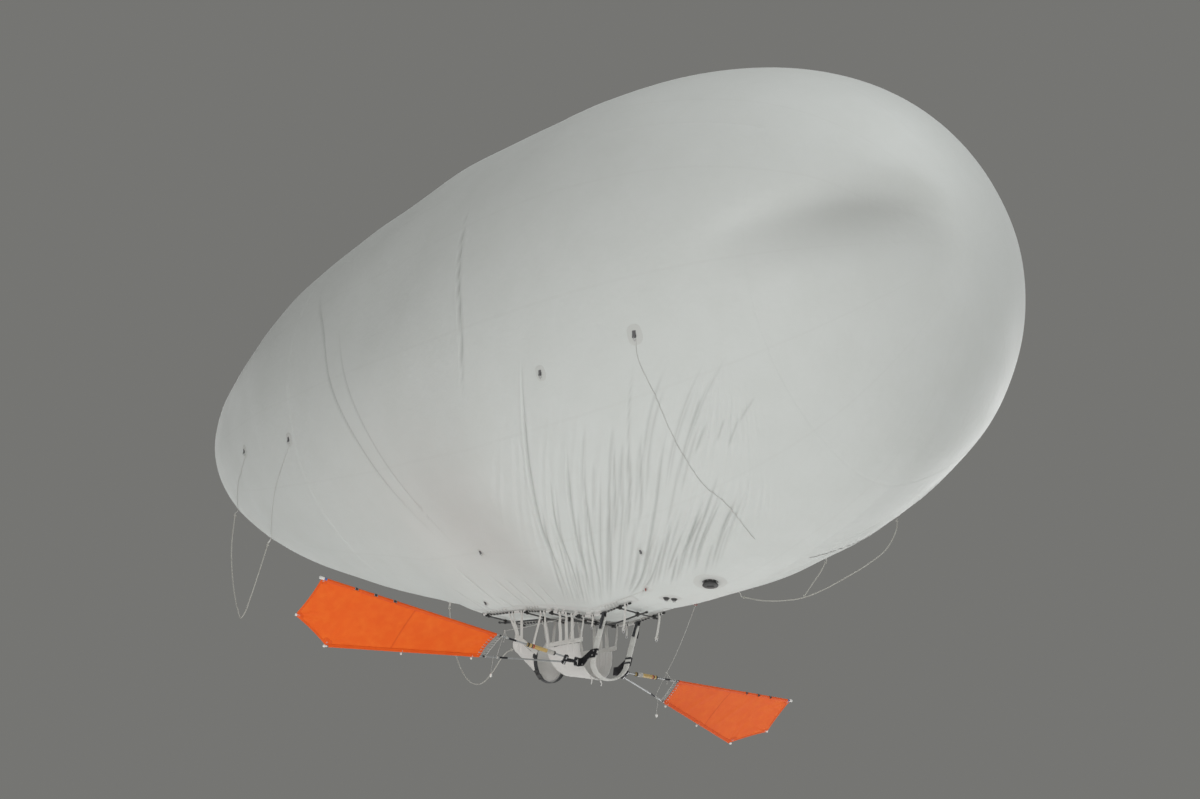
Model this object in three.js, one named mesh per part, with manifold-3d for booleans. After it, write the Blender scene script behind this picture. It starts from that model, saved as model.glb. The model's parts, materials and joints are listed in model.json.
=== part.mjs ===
// Personal helium balloon: a long gas envelope that lifts one rider, who hangs
// prone in a cloth harness under its belly and rows with two hand-held wings.
// Units mm. +X is the nose, +Y the rider's left, +Z up. The origin is the centre
// of lift, on the envelope's axis; nothing here stands on a floor.
import * as THREE from 'three';
import { mergeVertices } from 'three/addons/utils/BufferGeometryUtils.js';
import Module from 'manifold-3d';

const wasm = await Module();
wasm.setup();

// ---------------------------------------------------------------- dimensions
const GAP = 0.3;                       // between pieces that touch
const ENV = {                          // envelope
  tail: -5000, nose: 4000, wide: 690,  // ends, and the station of the greatest radius
  radius: 1841, noseExp: 2.951, tailExp: 1.674,
  wall: 10, flat: 170,                 // wall, and half width of the flat strip on the keel
  fall: 970,                           // how fast the pulled-down belly fades sideways
  stations: 40, around: 36,
};
const PULLS = [                        // how the load draws the belly down
  // depth, station, length
  [331, 819, 2851],
  [65, 550, 303],
  [69, -800, 344],
];
const PORT = { x: 1745, y: -95, r: 55, neck: 45 };             // filling port
const SMALL_PORTS = [                                          // pressure ports
  // name, x, y, r
  ['pressure_port_front', 1303, -32, 18],
  ['pressure_port_rear', 1271, -80, 18],
];
const KEEL = { y: 170, r: 7, drop: 20, rear: -800, front: 980, spreadR: 6, centreR: 7 };
const SPREADERS = [-720, -230, 80, 400, 870];                      // stations of the cross tubes
const HOOP = { x: 600, lean: 0.27, leanZ: -2520, y: 165, spring: -2495, bottom: -2632, width: 60, thick: 16 };
const SLINGS = [                       // troughs of cloth; a rake moves an end's low edge along X
  // name, x rear, x front, half width, hem z rear, hem z front, depth rear, depth front, rake rear, rake front, thickness
  ['leg_sling', -375, -135, 150, -2237, -2388, 108, 192, -88, 0, 6],
  ['torso_sling', 35, 420, 165, -2368, -2366, 198, 262, 80, 50, 6],
];
const HIP = { x: -107, width: 45, half: 150, hem: -2378, bottom: -2596, thick: 4 };
const STRAPS = [                       // webbing from the keel tubes to a hem band on each sling
  // set, hem x rear, hem x front, hem z rear, hem z front, [x at keel, x at hem, width] ...
  ['leg_straps', -375, -85, -2237, -2412, [[-453, -362, 20], [-413, -338, 20], [-300, -292, 30], [-60, -140, 24]]],
  ['torso_straps', 35, 468, -2368, -2366, [[-18, 58, 26], [172, 208, 34], [250, 278, 34], [318, 350, 34], [456, 452, 16]]],
];
const HEM = { height: 34, thick: 5 };
const FRONT = { x: 930, width: 26, length: 205, thick: 4 };

const WING = {
  pivot: [460, 213, -2526], sweep: 13.3, feather: 42.6,
  apex: 80, half: 7.67,                // the spars spread from a point 80 inboard of the pivot
  spar: 6, sparStart: 101, sail: 3, inset: 7.3,
};
const SAIL = [
  // chord, span
  [104, 691], [297, 2129], [-49, 2203], [-265, 1887], [-111, 742],
];
const GRIP = { from: 190, to: 430, r: 15 };
const CAP = { r: 11, over: 25, past: 12 };
const ROPES = [
  // name, radius, steps, points
  ['tail_rope', 5, 34, [[-4362, -462, -700], [-4382, -440, -1011], [-4287, -420, -1392], [-4165, -405, -1640], [-4112, -400, -1706], [-4066, -394, -1660], [-4030, -380, -1530], [-3990, -340, -1233], [-3981, -300, -1000]]],
  ['nose_line', 4, 30, [[2606, 885, -1478], [2596, 895, -1556], [2540, 862, -1700], [2420, 820, -1800], [2220, 765, -1905], [2050, 712, -1985], [1893, 650, -2036], [1661, 545, -2046], [1500, 452, -2016]]],
  ['nose_line_branch', 4, 10, [[2116, 690, -1768], [2040, 706, -1850], [1985, 700, -1915], [1930, 672, -2014]]],
  ['foot_line', 4, 40, [[-1494, -2, -1826], [-1447, -10, -1960], [-1370, -30, -2100], [-1260, -55, -2270], [-1150, -75, -2395], [-1030, -90, -2495], [-910, -100, -2548], [-794, -104, -2548], [-682, -104, -2470], [-598, -102, -2378], [-530, -100, -2330], [-462, -98, -2316]]],
];

const COLOUR = {
  film: [0xd4d7d6, 0.55, 0], dark: [0x2a2a2a, 0.6, 0], carbon: [0x232325, 0.45, 0.1],
  pad: [0xc9c9c4, 0.9, 0], cloth: [0xe4e2e0, 0.85, 0], webbing: [0xe9e9e6, 0.9, 0],
  strap: [0x15171c, 0.9, 0], metal: [0x3b3c3f, 0.4, 0.8], sail: [0xe8703a, 0.7, 0],
  spar: [0xa9adb0, 0.4, 0.2], grip: [0xc9a44c, 0.7, 0], white: [0xf0f0ee, 0.6, 0],
  rope: [0xd8d6cf, 0.9, 0],
};

// ------------------------------------------------------------------- helpers
const deg = THREE.MathUtils.degToRad;
const V = (x, y, z) => new THREE.Vector3(x, y, z);
const craft = new THREE.Group();

function bare(geometry) {
  const g = geometry.index ? geometry.toNonIndexed() : geometry.clone();
  for (const name of Object.keys(g.attributes)) if (name !== 'position') g.deleteAttribute(name);
  return mergeVertices(g, 1e-3);
}
function solid(geometry) {
  const g = bare(geometry);
  return new wasm.Manifold(new wasm.Mesh({
    numProp: 3,
    vertProperties: new Float32Array(g.attributes.position.array),
    triVerts: new Uint32Array(g.index.array),
  }));
}
function fromSolid(body) {
  const m = body.getMesh();
  const g = new THREE.BufferGeometry();
  g.setAttribute('position', new THREE.BufferAttribute(new Float32Array(m.vertProperties), 3));
  g.setIndex(new THREE.BufferAttribute(new Uint32Array(m.triVerts), 1));
  g.computeVertexNormals();
  return g;
}
const join = (...list) => fromSolid(list.map(solid).reduce((a, b) => a.add(b)));

function piece(name, geometry, colour, parent = craft) {
  const [color, roughness, metalness] = COLOUR[colour];
  const mesh = new THREE.Mesh(geometry, new THREE.MeshStandardMaterial({ color, roughness, metalness }));
  mesh.name = name;
  parent.add(mesh);
  return mesh;
}
// turns a shape made along +Y so that it runs from a towards b, starting at a
function along(geometry, a, b) {
  const q = new THREE.Quaternion().setFromUnitVectors(V(0, 1, 0), b.clone().sub(a).normalize());
  return geometry.clone().applyQuaternion(q).translate(a.x, a.y, a.z);
}
function rod(a, b, r, sides = 12) {
  const n = a.distanceTo(b);
  return along(new THREE.CylinderGeometry(r, r, n, sides).translate(0, n / 2, 0), a, b);
}
function bent(points, r, steps, sides = 8) {
  const shape = new THREE.Shape();
  for (let i = 0; i < sides; i++) {
    const a = (2 * Math.PI * i) / sides;
    if (i) shape.lineTo(r * Math.cos(a), r * Math.sin(a)); else shape.moveTo(r * Math.cos(a), r * Math.sin(a));
  }
  shape.closePath();
  const path = new THREE.CatmullRomCurve3(points, false, 'centripetal');
  return new THREE.ExtrudeGeometry(shape, { steps, bevelEnabled: false, extrudePath: path });
}
// a strip from a to b: w wide along X, t thick
function strip(a, b, w, t) {
  const n = a.distanceTo(b);
  const dir = b.clone().sub(a).normalize();
  const wide = V(1, 0, 0).addScaledVector(dir, -dir.x).normalize();
  const thin = new THREE.Vector3().crossVectors(wide, dir);
  const m = new THREE.Matrix4().makeBasis(wide, dir, thin).setPosition(a.clone().add(b).multiplyScalar(0.5));
  return new THREE.BoxGeometry(w, n, t).applyMatrix4(m);
}

// ------------------------------------------------------------------ envelope
function envelopeRadius(x) {
  const ahead = x > ENV.wide;
  const u = ahead ? (x - ENV.wide) / (ENV.nose - ENV.wide) : (ENV.wide - x) / (ENV.wide - ENV.tail);
  return ENV.radius * Math.sqrt(Math.max(0, 1 - Math.pow(Math.min(1, Math.max(0, u)), ahead ? ENV.noseExp : ENV.tailExp)));
}
function pull(x) {
  return PULLS.reduce((sum, [depth, at, length]) => sum + depth * Math.exp(-(((x - at) / length) ** 2)), 0);
}
function envelopePoint(x, angle) {
  const r = envelopeRadius(x);
  const y = r * Math.cos(angle);
  const down = Math.max(0, -Math.sin(angle));
  const side = Math.exp(-Math.max(ENV.flat, Math.abs(y)) / ENV.fall);
  return V(x, y, r * Math.sin(angle) - pull(x) * Math.min(1, (1.5 * r) / ENV.radius) * down * side);
}
const bellyZ = (x, y) => envelopePoint(x, -Math.acos(Math.min(1, Math.abs(y) / envelopeRadius(x)))).z;

function envelopeSkin(offset) {
  const n = ENV.stations, m = ENV.around, pos = [], index = [];
  const mid = (ENV.tail + ENV.nose) / 2, halfLength = (ENV.nose - ENV.tail) / 2;
  pos.push(ENV.tail + offset, 0, 0);
  for (let i = 1; i < n; i++) {
    const x = mid - halfLength * Math.cos((Math.PI * i) / n);
    for (let j = 0; j < m; j++) {
      const a = (2 * Math.PI * j) / m, e = 1e-3, dx = 1;
      const p = envelopePoint(x, a);
      const tx = envelopePoint(x + dx, a).sub(envelopePoint(x - dx, a));
      const ta = envelopePoint(x, a + e).sub(envelopePoint(x, a - e));
      const nrm = new THREE.Vector3().crossVectors(ta, tx).normalize();
      if (nrm.dot(V(0, p.y, p.z)) < 0 && Math.abs(nrm.x) < 0.9) nrm.negate();
      p.addScaledVector(nrm, -offset);
      pos.push(p.x, p.y, p.z);
    }
  }
  pos.push(ENV.nose - offset, 0, 0);
  const last = pos.length / 3 - 1, at = (i, j) => 1 + (i - 1) * m + (j % m);
  for (let j = 0; j < m; j++) {
    index.push(0, at(1, j + 1), at(1, j));
    for (let i = 1; i < n - 1; i++) {
      index.push(at(i, j), at(i, j + 1), at(i + 1, j + 1), at(i, j), at(i + 1, j + 1), at(i + 1, j));
    }
    index.push(last, at(n - 1, j), at(n - 1, j + 1));
  }
  const g = new THREE.BufferGeometry();
  g.setAttribute('position', new THREE.Float32BufferAttribute(pos, 3));
  g.setIndex(index);
  return g;
}
const up = V(0, 0, 1);
const belly = (x, y) => V(x, y, bellyZ(x, y));
function bellyNormal(x, y) {
  const tx = belly(x + 40, y).sub(belly(x - 40, y)), ty = belly(x, y + 40).sub(belly(x, y - 40));
  return new THREE.Vector3().crossVectors(ty, tx).normalize();
}
let shell = solid(envelopeSkin(0)).subtract(solid(envelopeSkin(ENV.wall)));
{
  const n = bellyNormal(PORT.x, PORT.y), c = belly(PORT.x, PORT.y);
  shell = shell.subtract(solid(rod(c.clone().addScaledVector(n, -60), c.clone().addScaledVector(n, 60), PORT.neck + GAP, 24)));
  // the port: a neck through the wall, a flange under it and a dark lid
  const profile = [[0, 5], [PORT.neck, 5], [PORT.neck, -22], [PORT.r, -22], [PORT.r, -30], [PORT.neck - 8, -34], [0, -34]]
    .map(([r, h]) => new THREE.Vector2(r, -h));
  const cap = new THREE.LatheGeometry(profile, 24);
  piece('filling_port', along(cap, c, c.clone().add(n)), 'dark');
}
piece('envelope', fromSolid(shell), 'film');
for (const [name, x, y, r] of SMALL_PORTS) {
  const n = bellyNormal(x, y), c = belly(x, y).addScaledVector(n, 14);
  const profile = [[0, 0], [r, 0], [r, 5], [r - 5, 9], [0, 9]].map(([a, h]) => new THREE.Vector2(a, h));
  piece(name, along(new THREE.LatheGeometry(profile, 16), c, c.clone().add(n)), 'dark');
}

// ---------------------------------------------------------------- keel frame
const keelZ = (x) => bellyZ(x, KEEL.y) - KEEL.drop;
const keelStations = [];
for (let i = 0; i <= 16; i++) keelStations.push(KEEL.rear + ((KEEL.front - KEEL.rear) * i) / 16);
for (const [side, word] of [[1, 'left'], [-1, 'right']]) {
  piece(`keel_tube_${word}`, bent(keelStations.map((x) => V(x, side * KEEL.y, keelZ(x))), KEEL.r, 32, 10), 'carbon');
}
const spreadZ = (x) => keelZ(x) - KEEL.r - KEEL.spreadR - 1;
SPREADERS.forEach((x, i) => {
  const z = spreadZ(x);
  piece(`keel_spreader_${i + 1}`, rod(V(x, -KEEL.y - 30, z), V(x, KEEL.y + 30, z), KEEL.spreadR, 12), 'carbon');
});
piece('keel_tube_centre', bent(keelStations.map((x) => V(x, 0, spreadZ(x) - KEEL.spreadR - KEEL.centreR - 4)), KEEL.centreR, 32, 10), 'carbon');

// --------------------------------------------------------------------- hoop
function hoopPath() {
  const x = (z) => HOOP.x + HOOP.lean * (z - HOOP.leanZ);
  const pts = [], top = keelZ(x(-2180)) - KEEL.r - 20;
  const add = (y, z) => pts.push(V(x(z), y, z));
  for (let i = 0; i <= 4; i++) add(HOOP.y, top + ((HOOP.spring - top) * i) / 4);
  for (let i = 1; i < 14; i++) {
    const a = (Math.PI * i) / 14;
    add(HOOP.y * Math.cos(a), HOOP.spring + (HOOP.bottom - HOOP.spring) * Math.sin(a));
  }
  for (let i = 4; i >= 0; i--) add(-HOOP.y, top + ((HOOP.spring - top) * i) / 4);
  return pts;
}
// a band of rounded section swept along points that lie in the hoop's plane
function band(points, width, thick) {
  const pos = [], index = [];
  const w = width / 2, t = thick / 2, c = t * 0.6;
  const ring = [[w, t - c], [w - c, t], [-w + c, t], [-w, t - c], [-w, -t + c], [-w + c, -t], [w - c, -t], [w, -t + c]];
  const n = points.length, m = ring.length;
  points.forEach((p, i) => {
    const a = points[Math.max(0, i - 1)], b = points[Math.min(n - 1, i + 1)];
    const tan = b.clone().sub(a).normalize();
    const wide = V(1, 0, 0).addScaledVector(tan, -tan.x).normalize();
    const out = new THREE.Vector3().crossVectors(tan, wide);
    for (const [u, v] of ring) {
      const q = p.clone().addScaledVector(wide, u).addScaledVector(out, v);
      pos.push(q.x, q.y, q.z);
    }
  });
  for (let i = 0; i < n - 1; i++) {
    for (let j = 0; j < m; j++) {
      const a = i * m + j, b = i * m + ((j + 1) % m), d = a + m, e = b + m;
      index.push(a, b, e, a, e, d);
    }
  }
  for (let j = 1; j < m - 1; j++) index.push(0, j + 1, j);
  const z = (n - 1) * m;
  for (let j = 1; j < m - 1; j++) index.push(z, z + j, z + j + 1);
  const g = new THREE.BufferGeometry();
  g.setAttribute('position', new THREE.Float32BufferAttribute(pos, 3));
  g.setIndex(index);
  return g;
}
function outward(geometry) {
  // flips a closed shape whose faces point in
  const p = geometry.attributes.position, id = geometry.index;
  let volume = 0;
  const a = new THREE.Vector3(), b = new THREE.Vector3(), c = new THREE.Vector3();
  for (let i = 0; i < id.count; i += 3) {
    a.fromBufferAttribute(p, id.getX(i)); b.fromBufferAttribute(p, id.getX(i + 1)); c.fromBufferAttribute(p, id.getX(i + 2));
    volume += a.dot(b.cross(c)) / 6;
  }
  if (volume < 0) for (let i = 0; i < id.count; i += 3) { const t = id.getX(i + 1); id.setX(i + 1, id.getX(i + 2)); id.setX(i + 2, t); }
  return geometry;
}
piece('shoulder_hoop', outward(band(hoopPath(), HOOP.width, HOOP.thick)), 'pad');

// ------------------------------------------------------------------- slings
// an open-topped trough of cloth, lofted between a rear and a front section
function trough(x0, x1, half, hem0, hem1, depth0, depth1, rake0, rake1, thick, sections = 5, sides = 16) {
  const pos = [], index = [];
  const loop = (x, hem, depth, rake) => {
    const pts = [];
    for (const t of [0, thick]) {
      for (let i = 0; i <= sides; i++) {
        const a = (Math.PI * (t ? sides - i : i)) / sides, low = Math.sin(a) ** 0.8;
        pts.push([x + rake * low, (half - t) * Math.cos(a), hem - (depth - t) * low]);
      }
    }
    return pts;
  };
  let m = 0;
  for (let k = 0; k < sections; k++) {
    const s = k / (sections - 1);
    const l = loop(x0 + (x1 - x0) * s, hem0 + (hem1 - hem0) * s, depth0 + (depth1 - depth0) * s, rake0 + (rake1 - rake0) * s);
    m = l.length;
    l.forEach((p) => pos.push(...p));
  }
  for (let k = 0; k < sections - 1; k++) for (let j = 0; j < m; j++) {
    const a = k * m + j, b = k * m + ((j + 1) % m), d = a + m, e = b + m;
    index.push(a, b, e, a, e, d);
  }
  const half_ = m / 2;
  for (const [base, flip] of [[0, false], [(sections - 1) * m, true]]) {
    for (let j = 0; j < half_ - 1; j++) {
      const a = base + j, b = base + j + 1, c = base + m - 1 - j, d = base + m - 2 - j;
      if (flip) index.push(a, b, d, a, d, c); else index.push(a, d, b, a, c, d);
    }
  }
  const g = new THREE.BufferGeometry();
  g.setAttribute('position', new THREE.Float32BufferAttribute(pos, 3));
  g.setIndex(index);
  return outward(g);
}
for (const [name, x0, x1, half, h0, h1, d0, d1, r0, r1, t] of SLINGS) piece(name, trough(x0, x1, half, h0, h1, d0, d1, r0, r1, t), 'cloth');
piece('hip_strap', trough(HIP.x - HIP.width / 2, HIP.x + HIP.width / 2, HIP.half, HIP.hem, HIP.hem, HIP.hem - HIP.bottom, HIP.hem - HIP.bottom, 0, 0, HIP.thick, 2), 'strap');

// straps: a hem band outside each sling's edge, and the webbing from it up to the keel tube
for (const [set, x0, x1, h0, h1, list] of STRAPS) {
  const sling = SLINGS.find((s) => s[0].startsWith(set.slice(0, 3)));
  const half = sling[3];
  const hemZ = (x) => h0 + ((h1 - h0) * (x - x0)) / (x1 - x0);
  for (const [side, word] of [[1, 'left'], [-1, 'right']]) {
    const y = side * (half + HEM.thick / 2 + GAP + 0.4);
    const parts = [];
    {
      const a = V(x0, y, hemZ(x0) + HEM.height / 2), b = V(x1, y, hemZ(x1) + HEM.height / 2);
      const n = a.distanceTo(b), dir = b.clone().sub(a).normalize(), thin = V(0, 1, 0), wide = new THREE.Vector3().crossVectors(dir, thin);
      parts.push(new THREE.BoxGeometry(n, HEM.thick, HEM.height)
        .applyMatrix4(new THREE.Matrix4().makeBasis(dir, thin, wide).setPosition(a.clone().add(b).multiplyScalar(0.5))));
    }
    for (const [top, foot, w] of list) {
      const z = keelZ(top) - KEEL.r - 1.5 - (w / 2) * Math.abs(top - foot) / 130 - 0.1 * w;
      parts.push(strip(V(top, side * KEEL.y, z), V(foot, y, hemZ(Math.min(x1, Math.max(x0, foot))) + HEM.height / 2), w, 3));
    }
    piece(`${set}_${word}`, join(...parts), 'webbing');
  }
}
for (const [side, word] of [[1, 'left'], [-1, 'right']]) {
  const z = keelZ(FRONT.x) - KEEL.r - 4;
  piece(`front_strap_${word}`, strip(V(FRONT.x, side * KEEL.y, z), V(FRONT.x - 12, side * (KEEL.y - 8), z - FRONT.length), FRONT.width, FRONT.thick), 'webbing');
}

// -------------------------------------------------------------------- wings
const box = (x0, x1, y0, y1, z0, z1) => new THREE.BoxGeometry(x1 - x0, y1 - y0, z1 - z0).translate((x0 + x1) / 2, (y0 + y1) / 2, (z0 + z1) / 2);
const cut = (a, ...tools) => fromSolid(tools.reduce((s, t) => s.subtract(solid(t)), solid(a)));
for (const [side, word] of [[1, 'left'], [-1, 'right']]) {
  const S = (g) => { // made for the left side, mirrored to the right
    if (side > 0) return g;
    const m = g.clone().applyMatrix4(new THREE.Matrix4().makeScale(1, -1, 1));
    return outward(m.index ? m : mergeVertices(m));
  };
  const [px, py, pz] = WING.pivot;
  const shoulder = new THREE.Group();
  shoulder.position.set(px, side * py, pz);
  craft.add(shoulder);

  // bracket on the hoop: a plate, an arm and two ears round the upright pin
  const hoopX = HOOP.x + HOOP.lean * (pz - HOOP.leanZ) - px;
  const plateIn = HOOP.y + HOOP.thick / 2 - py + 2 * GAP;
  const ear = (z0, z1) => join(
    box(-11, 11, plateIn, 0, z0, z1),
    new THREE.CylinderGeometry(11, 11, z1 - z0, 20).rotateX(Math.PI / 2).translate(0, 0, (z0 + z1) / 2));
  // seen from the side: round the pin at the rear, up along the hoop's straight leg in front
  const plateShape = new THREE.Shape([[-14, -31], [50, -31], [hoopX - 30, 22], [hoopX + 36, 22], [hoopX + 52, 84], [hoopX - 12, 84], [30, 31], [-14, 31]]
    .map(([x, z]) => new THREE.Vector2(x, z)));
  const plate = new THREE.ExtrudeGeometry(plateShape, { depth: 6, bevelEnabled: false }).rotateX(Math.PI / 2).translate(0, plateIn + 6, 0);
  const bracket = cut(
    join(plate, ear(24.5, 30.5), ear(-30.5, -24.5)),
    new THREE.CylinderGeometry(4.4, 4.4, 80, 16).rotateX(Math.PI / 2));
  piece(`shoulder_bracket_${word}`, S(bracket), 'metal', shoulder);

  const swept = new THREE.Group();
  swept.rotation.z = side * deg(WING.sweep);
  shoulder.add(swept);
  // swivel: turns on the upright pin and carries the level pin
  piece(`wing_swivel_${word}`, S(join(
    box(-10, 10, -10, 10, -23.5, 23.5),
    new THREE.CylinderGeometry(4, 4, 66, 16).rotateX(Math.PI / 2),
    new THREE.CylinderGeometry(4, 4, 38, 16).rotateZ(Math.PI / 2))), 'metal', swept);
  // fork: rises and falls on the level pin, and ends in the spindle of the wing
  const forkEar = (x0, x1) => join(box(x0, x1, 0, 40, -9, 9),
    new THREE.CylinderGeometry(9, 9, x1 - x0, 20).rotateZ(Math.PI / 2).translate((x0 + x1) / 2, 0, 0));
  piece(`wing_fork_${word}`, S(cut(
    join(forkEar(11, 16), forkEar(-16, -11), box(-16, 16, 33, 41, -11, 11), rod(V(0, 40, 0), V(0, 72, 0), 5, 16)),
    new THREE.CylinderGeometry(4.4, 4.4, 60, 16).rotateZ(Math.PI / 2))), 'metal', swept);

  const wing = new THREE.Group();
  wing.rotation.y = -deg(WING.feather);
  swept.add(wing);
  // knuckle: a sleeve on the spindle and the block that holds both spars
  piece(`wing_knuckle_${word}`, S(cut(
    join(rod(V(0, 42, 0), V(0, 80, 0), 14, 20), box(-38, 38, 76, 100, -11, 11)),
    rod(V(0, 30, 0), V(0, 74, 0), 5.4, 16))), 'metal', wing);
  const tanHalf = Math.tan(deg(WING.half));
  const onSpar = (s, sign) => V(sign * (s + WING.apex) * tanHalf, s, 0);
  const tipA = SAIL[1], tipB = SAIL[3];
  piece(`lead_spar_${word}`, S(rod(onSpar(WING.sparStart, 1), onSpar(tipA[1] + 8, 1), WING.spar, 10)), 'spar', wing);
  piece(`trail_spar_${word}`, S(rod(onSpar(WING.sparStart, -1), onSpar(tipB[1] + 8, -1), WING.spar, 10)), 'spar', wing);
  // sail: flat cloth between the spars, with its free outer corner
  const edge = (s, sign) => [sign * ((s + WING.apex) * tanHalf - WING.inset), s];
  const outline = [
    edge(SAIL[0][1], 1), edge(tipA[1] - CAP.over, 1), SAIL[2], edge(tipB[1] + 14, -1), edge(SAIL[4][1], -1),
  ];
  const shape = new THREE.Shape(outline.map(([c, s]) => new THREE.Vector2(c, s)));
  piece(`sail_${word}`, S(new THREE.ExtrudeGeometry(shape, { depth: WING.sail, bevelEnabled: false }).translate(0, 0, -WING.sail / 2)), 'sail', wing);
  // grip: a sleeve round the leading spar
  const gripLength = (GRIP.to - GRIP.from) / Math.cos(deg(WING.half));
  const inner = WING.spar + 0.5;
  const sleeve = new THREE.LatheGeometry([[inner, 0], [GRIP.r - 2, 0], [GRIP.r, 3], [GRIP.r, gripLength - 3], [GRIP.r - 2, gripLength], [inner, gripLength], [inner, 0]]
    .map(([r, h]) => new THREE.Vector2(r, h)), 20);
  piece(`grip_${word}`, S(along(sleeve, onSpar(GRIP.from, 1), onSpar(GRIP.to, 1))), 'grip', wing);
  // cap on the tip of the leading spar
  const end = tipA[1] + 8;
  const tip = new THREE.LatheGeometry([[0, 1], [inner, 1], [inner, -CAP.over], [CAP.r, -CAP.over], [CAP.r, CAP.past - 4], [CAP.r - 4, CAP.past], [0, CAP.past]]
    .map(([r, h]) => new THREE.Vector2(r, h)), 16);
  piece(`tip_cap_${word}`, S(along(tip, onSpar(end, 1), onSpar(end + 10, 1))), 'white', wing);
}

// -------------------------------------------------------------------- ropes
for (const [name, r, steps, points] of ROPES) piece(name, bent(points.map((p) => V(...p)), r, steps, 8), 'rope');

export default craft;
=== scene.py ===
import json
import math
import random

import bpy
import numpy as np
from mathutils import Matrix, Vector

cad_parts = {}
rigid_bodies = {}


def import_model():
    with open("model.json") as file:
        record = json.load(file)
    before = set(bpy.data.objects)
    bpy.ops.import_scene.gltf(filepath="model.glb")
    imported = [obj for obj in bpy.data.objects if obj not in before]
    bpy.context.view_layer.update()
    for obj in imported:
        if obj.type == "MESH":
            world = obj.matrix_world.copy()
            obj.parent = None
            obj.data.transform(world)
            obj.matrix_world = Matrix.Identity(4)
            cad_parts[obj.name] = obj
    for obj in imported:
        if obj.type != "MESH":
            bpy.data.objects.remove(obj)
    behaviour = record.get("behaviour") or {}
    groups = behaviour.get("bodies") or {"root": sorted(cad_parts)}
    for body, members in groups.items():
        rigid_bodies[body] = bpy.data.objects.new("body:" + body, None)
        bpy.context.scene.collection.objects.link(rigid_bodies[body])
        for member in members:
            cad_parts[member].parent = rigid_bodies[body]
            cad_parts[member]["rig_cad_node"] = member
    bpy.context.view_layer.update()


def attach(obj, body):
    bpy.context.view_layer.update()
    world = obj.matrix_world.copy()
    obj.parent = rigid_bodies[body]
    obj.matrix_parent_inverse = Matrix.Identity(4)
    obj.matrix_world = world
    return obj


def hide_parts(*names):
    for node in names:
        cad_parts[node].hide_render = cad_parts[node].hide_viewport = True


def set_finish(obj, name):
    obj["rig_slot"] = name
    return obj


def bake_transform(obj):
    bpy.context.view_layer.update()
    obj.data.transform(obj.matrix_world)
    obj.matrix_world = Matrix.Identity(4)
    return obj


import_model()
PI = math.pi


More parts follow.
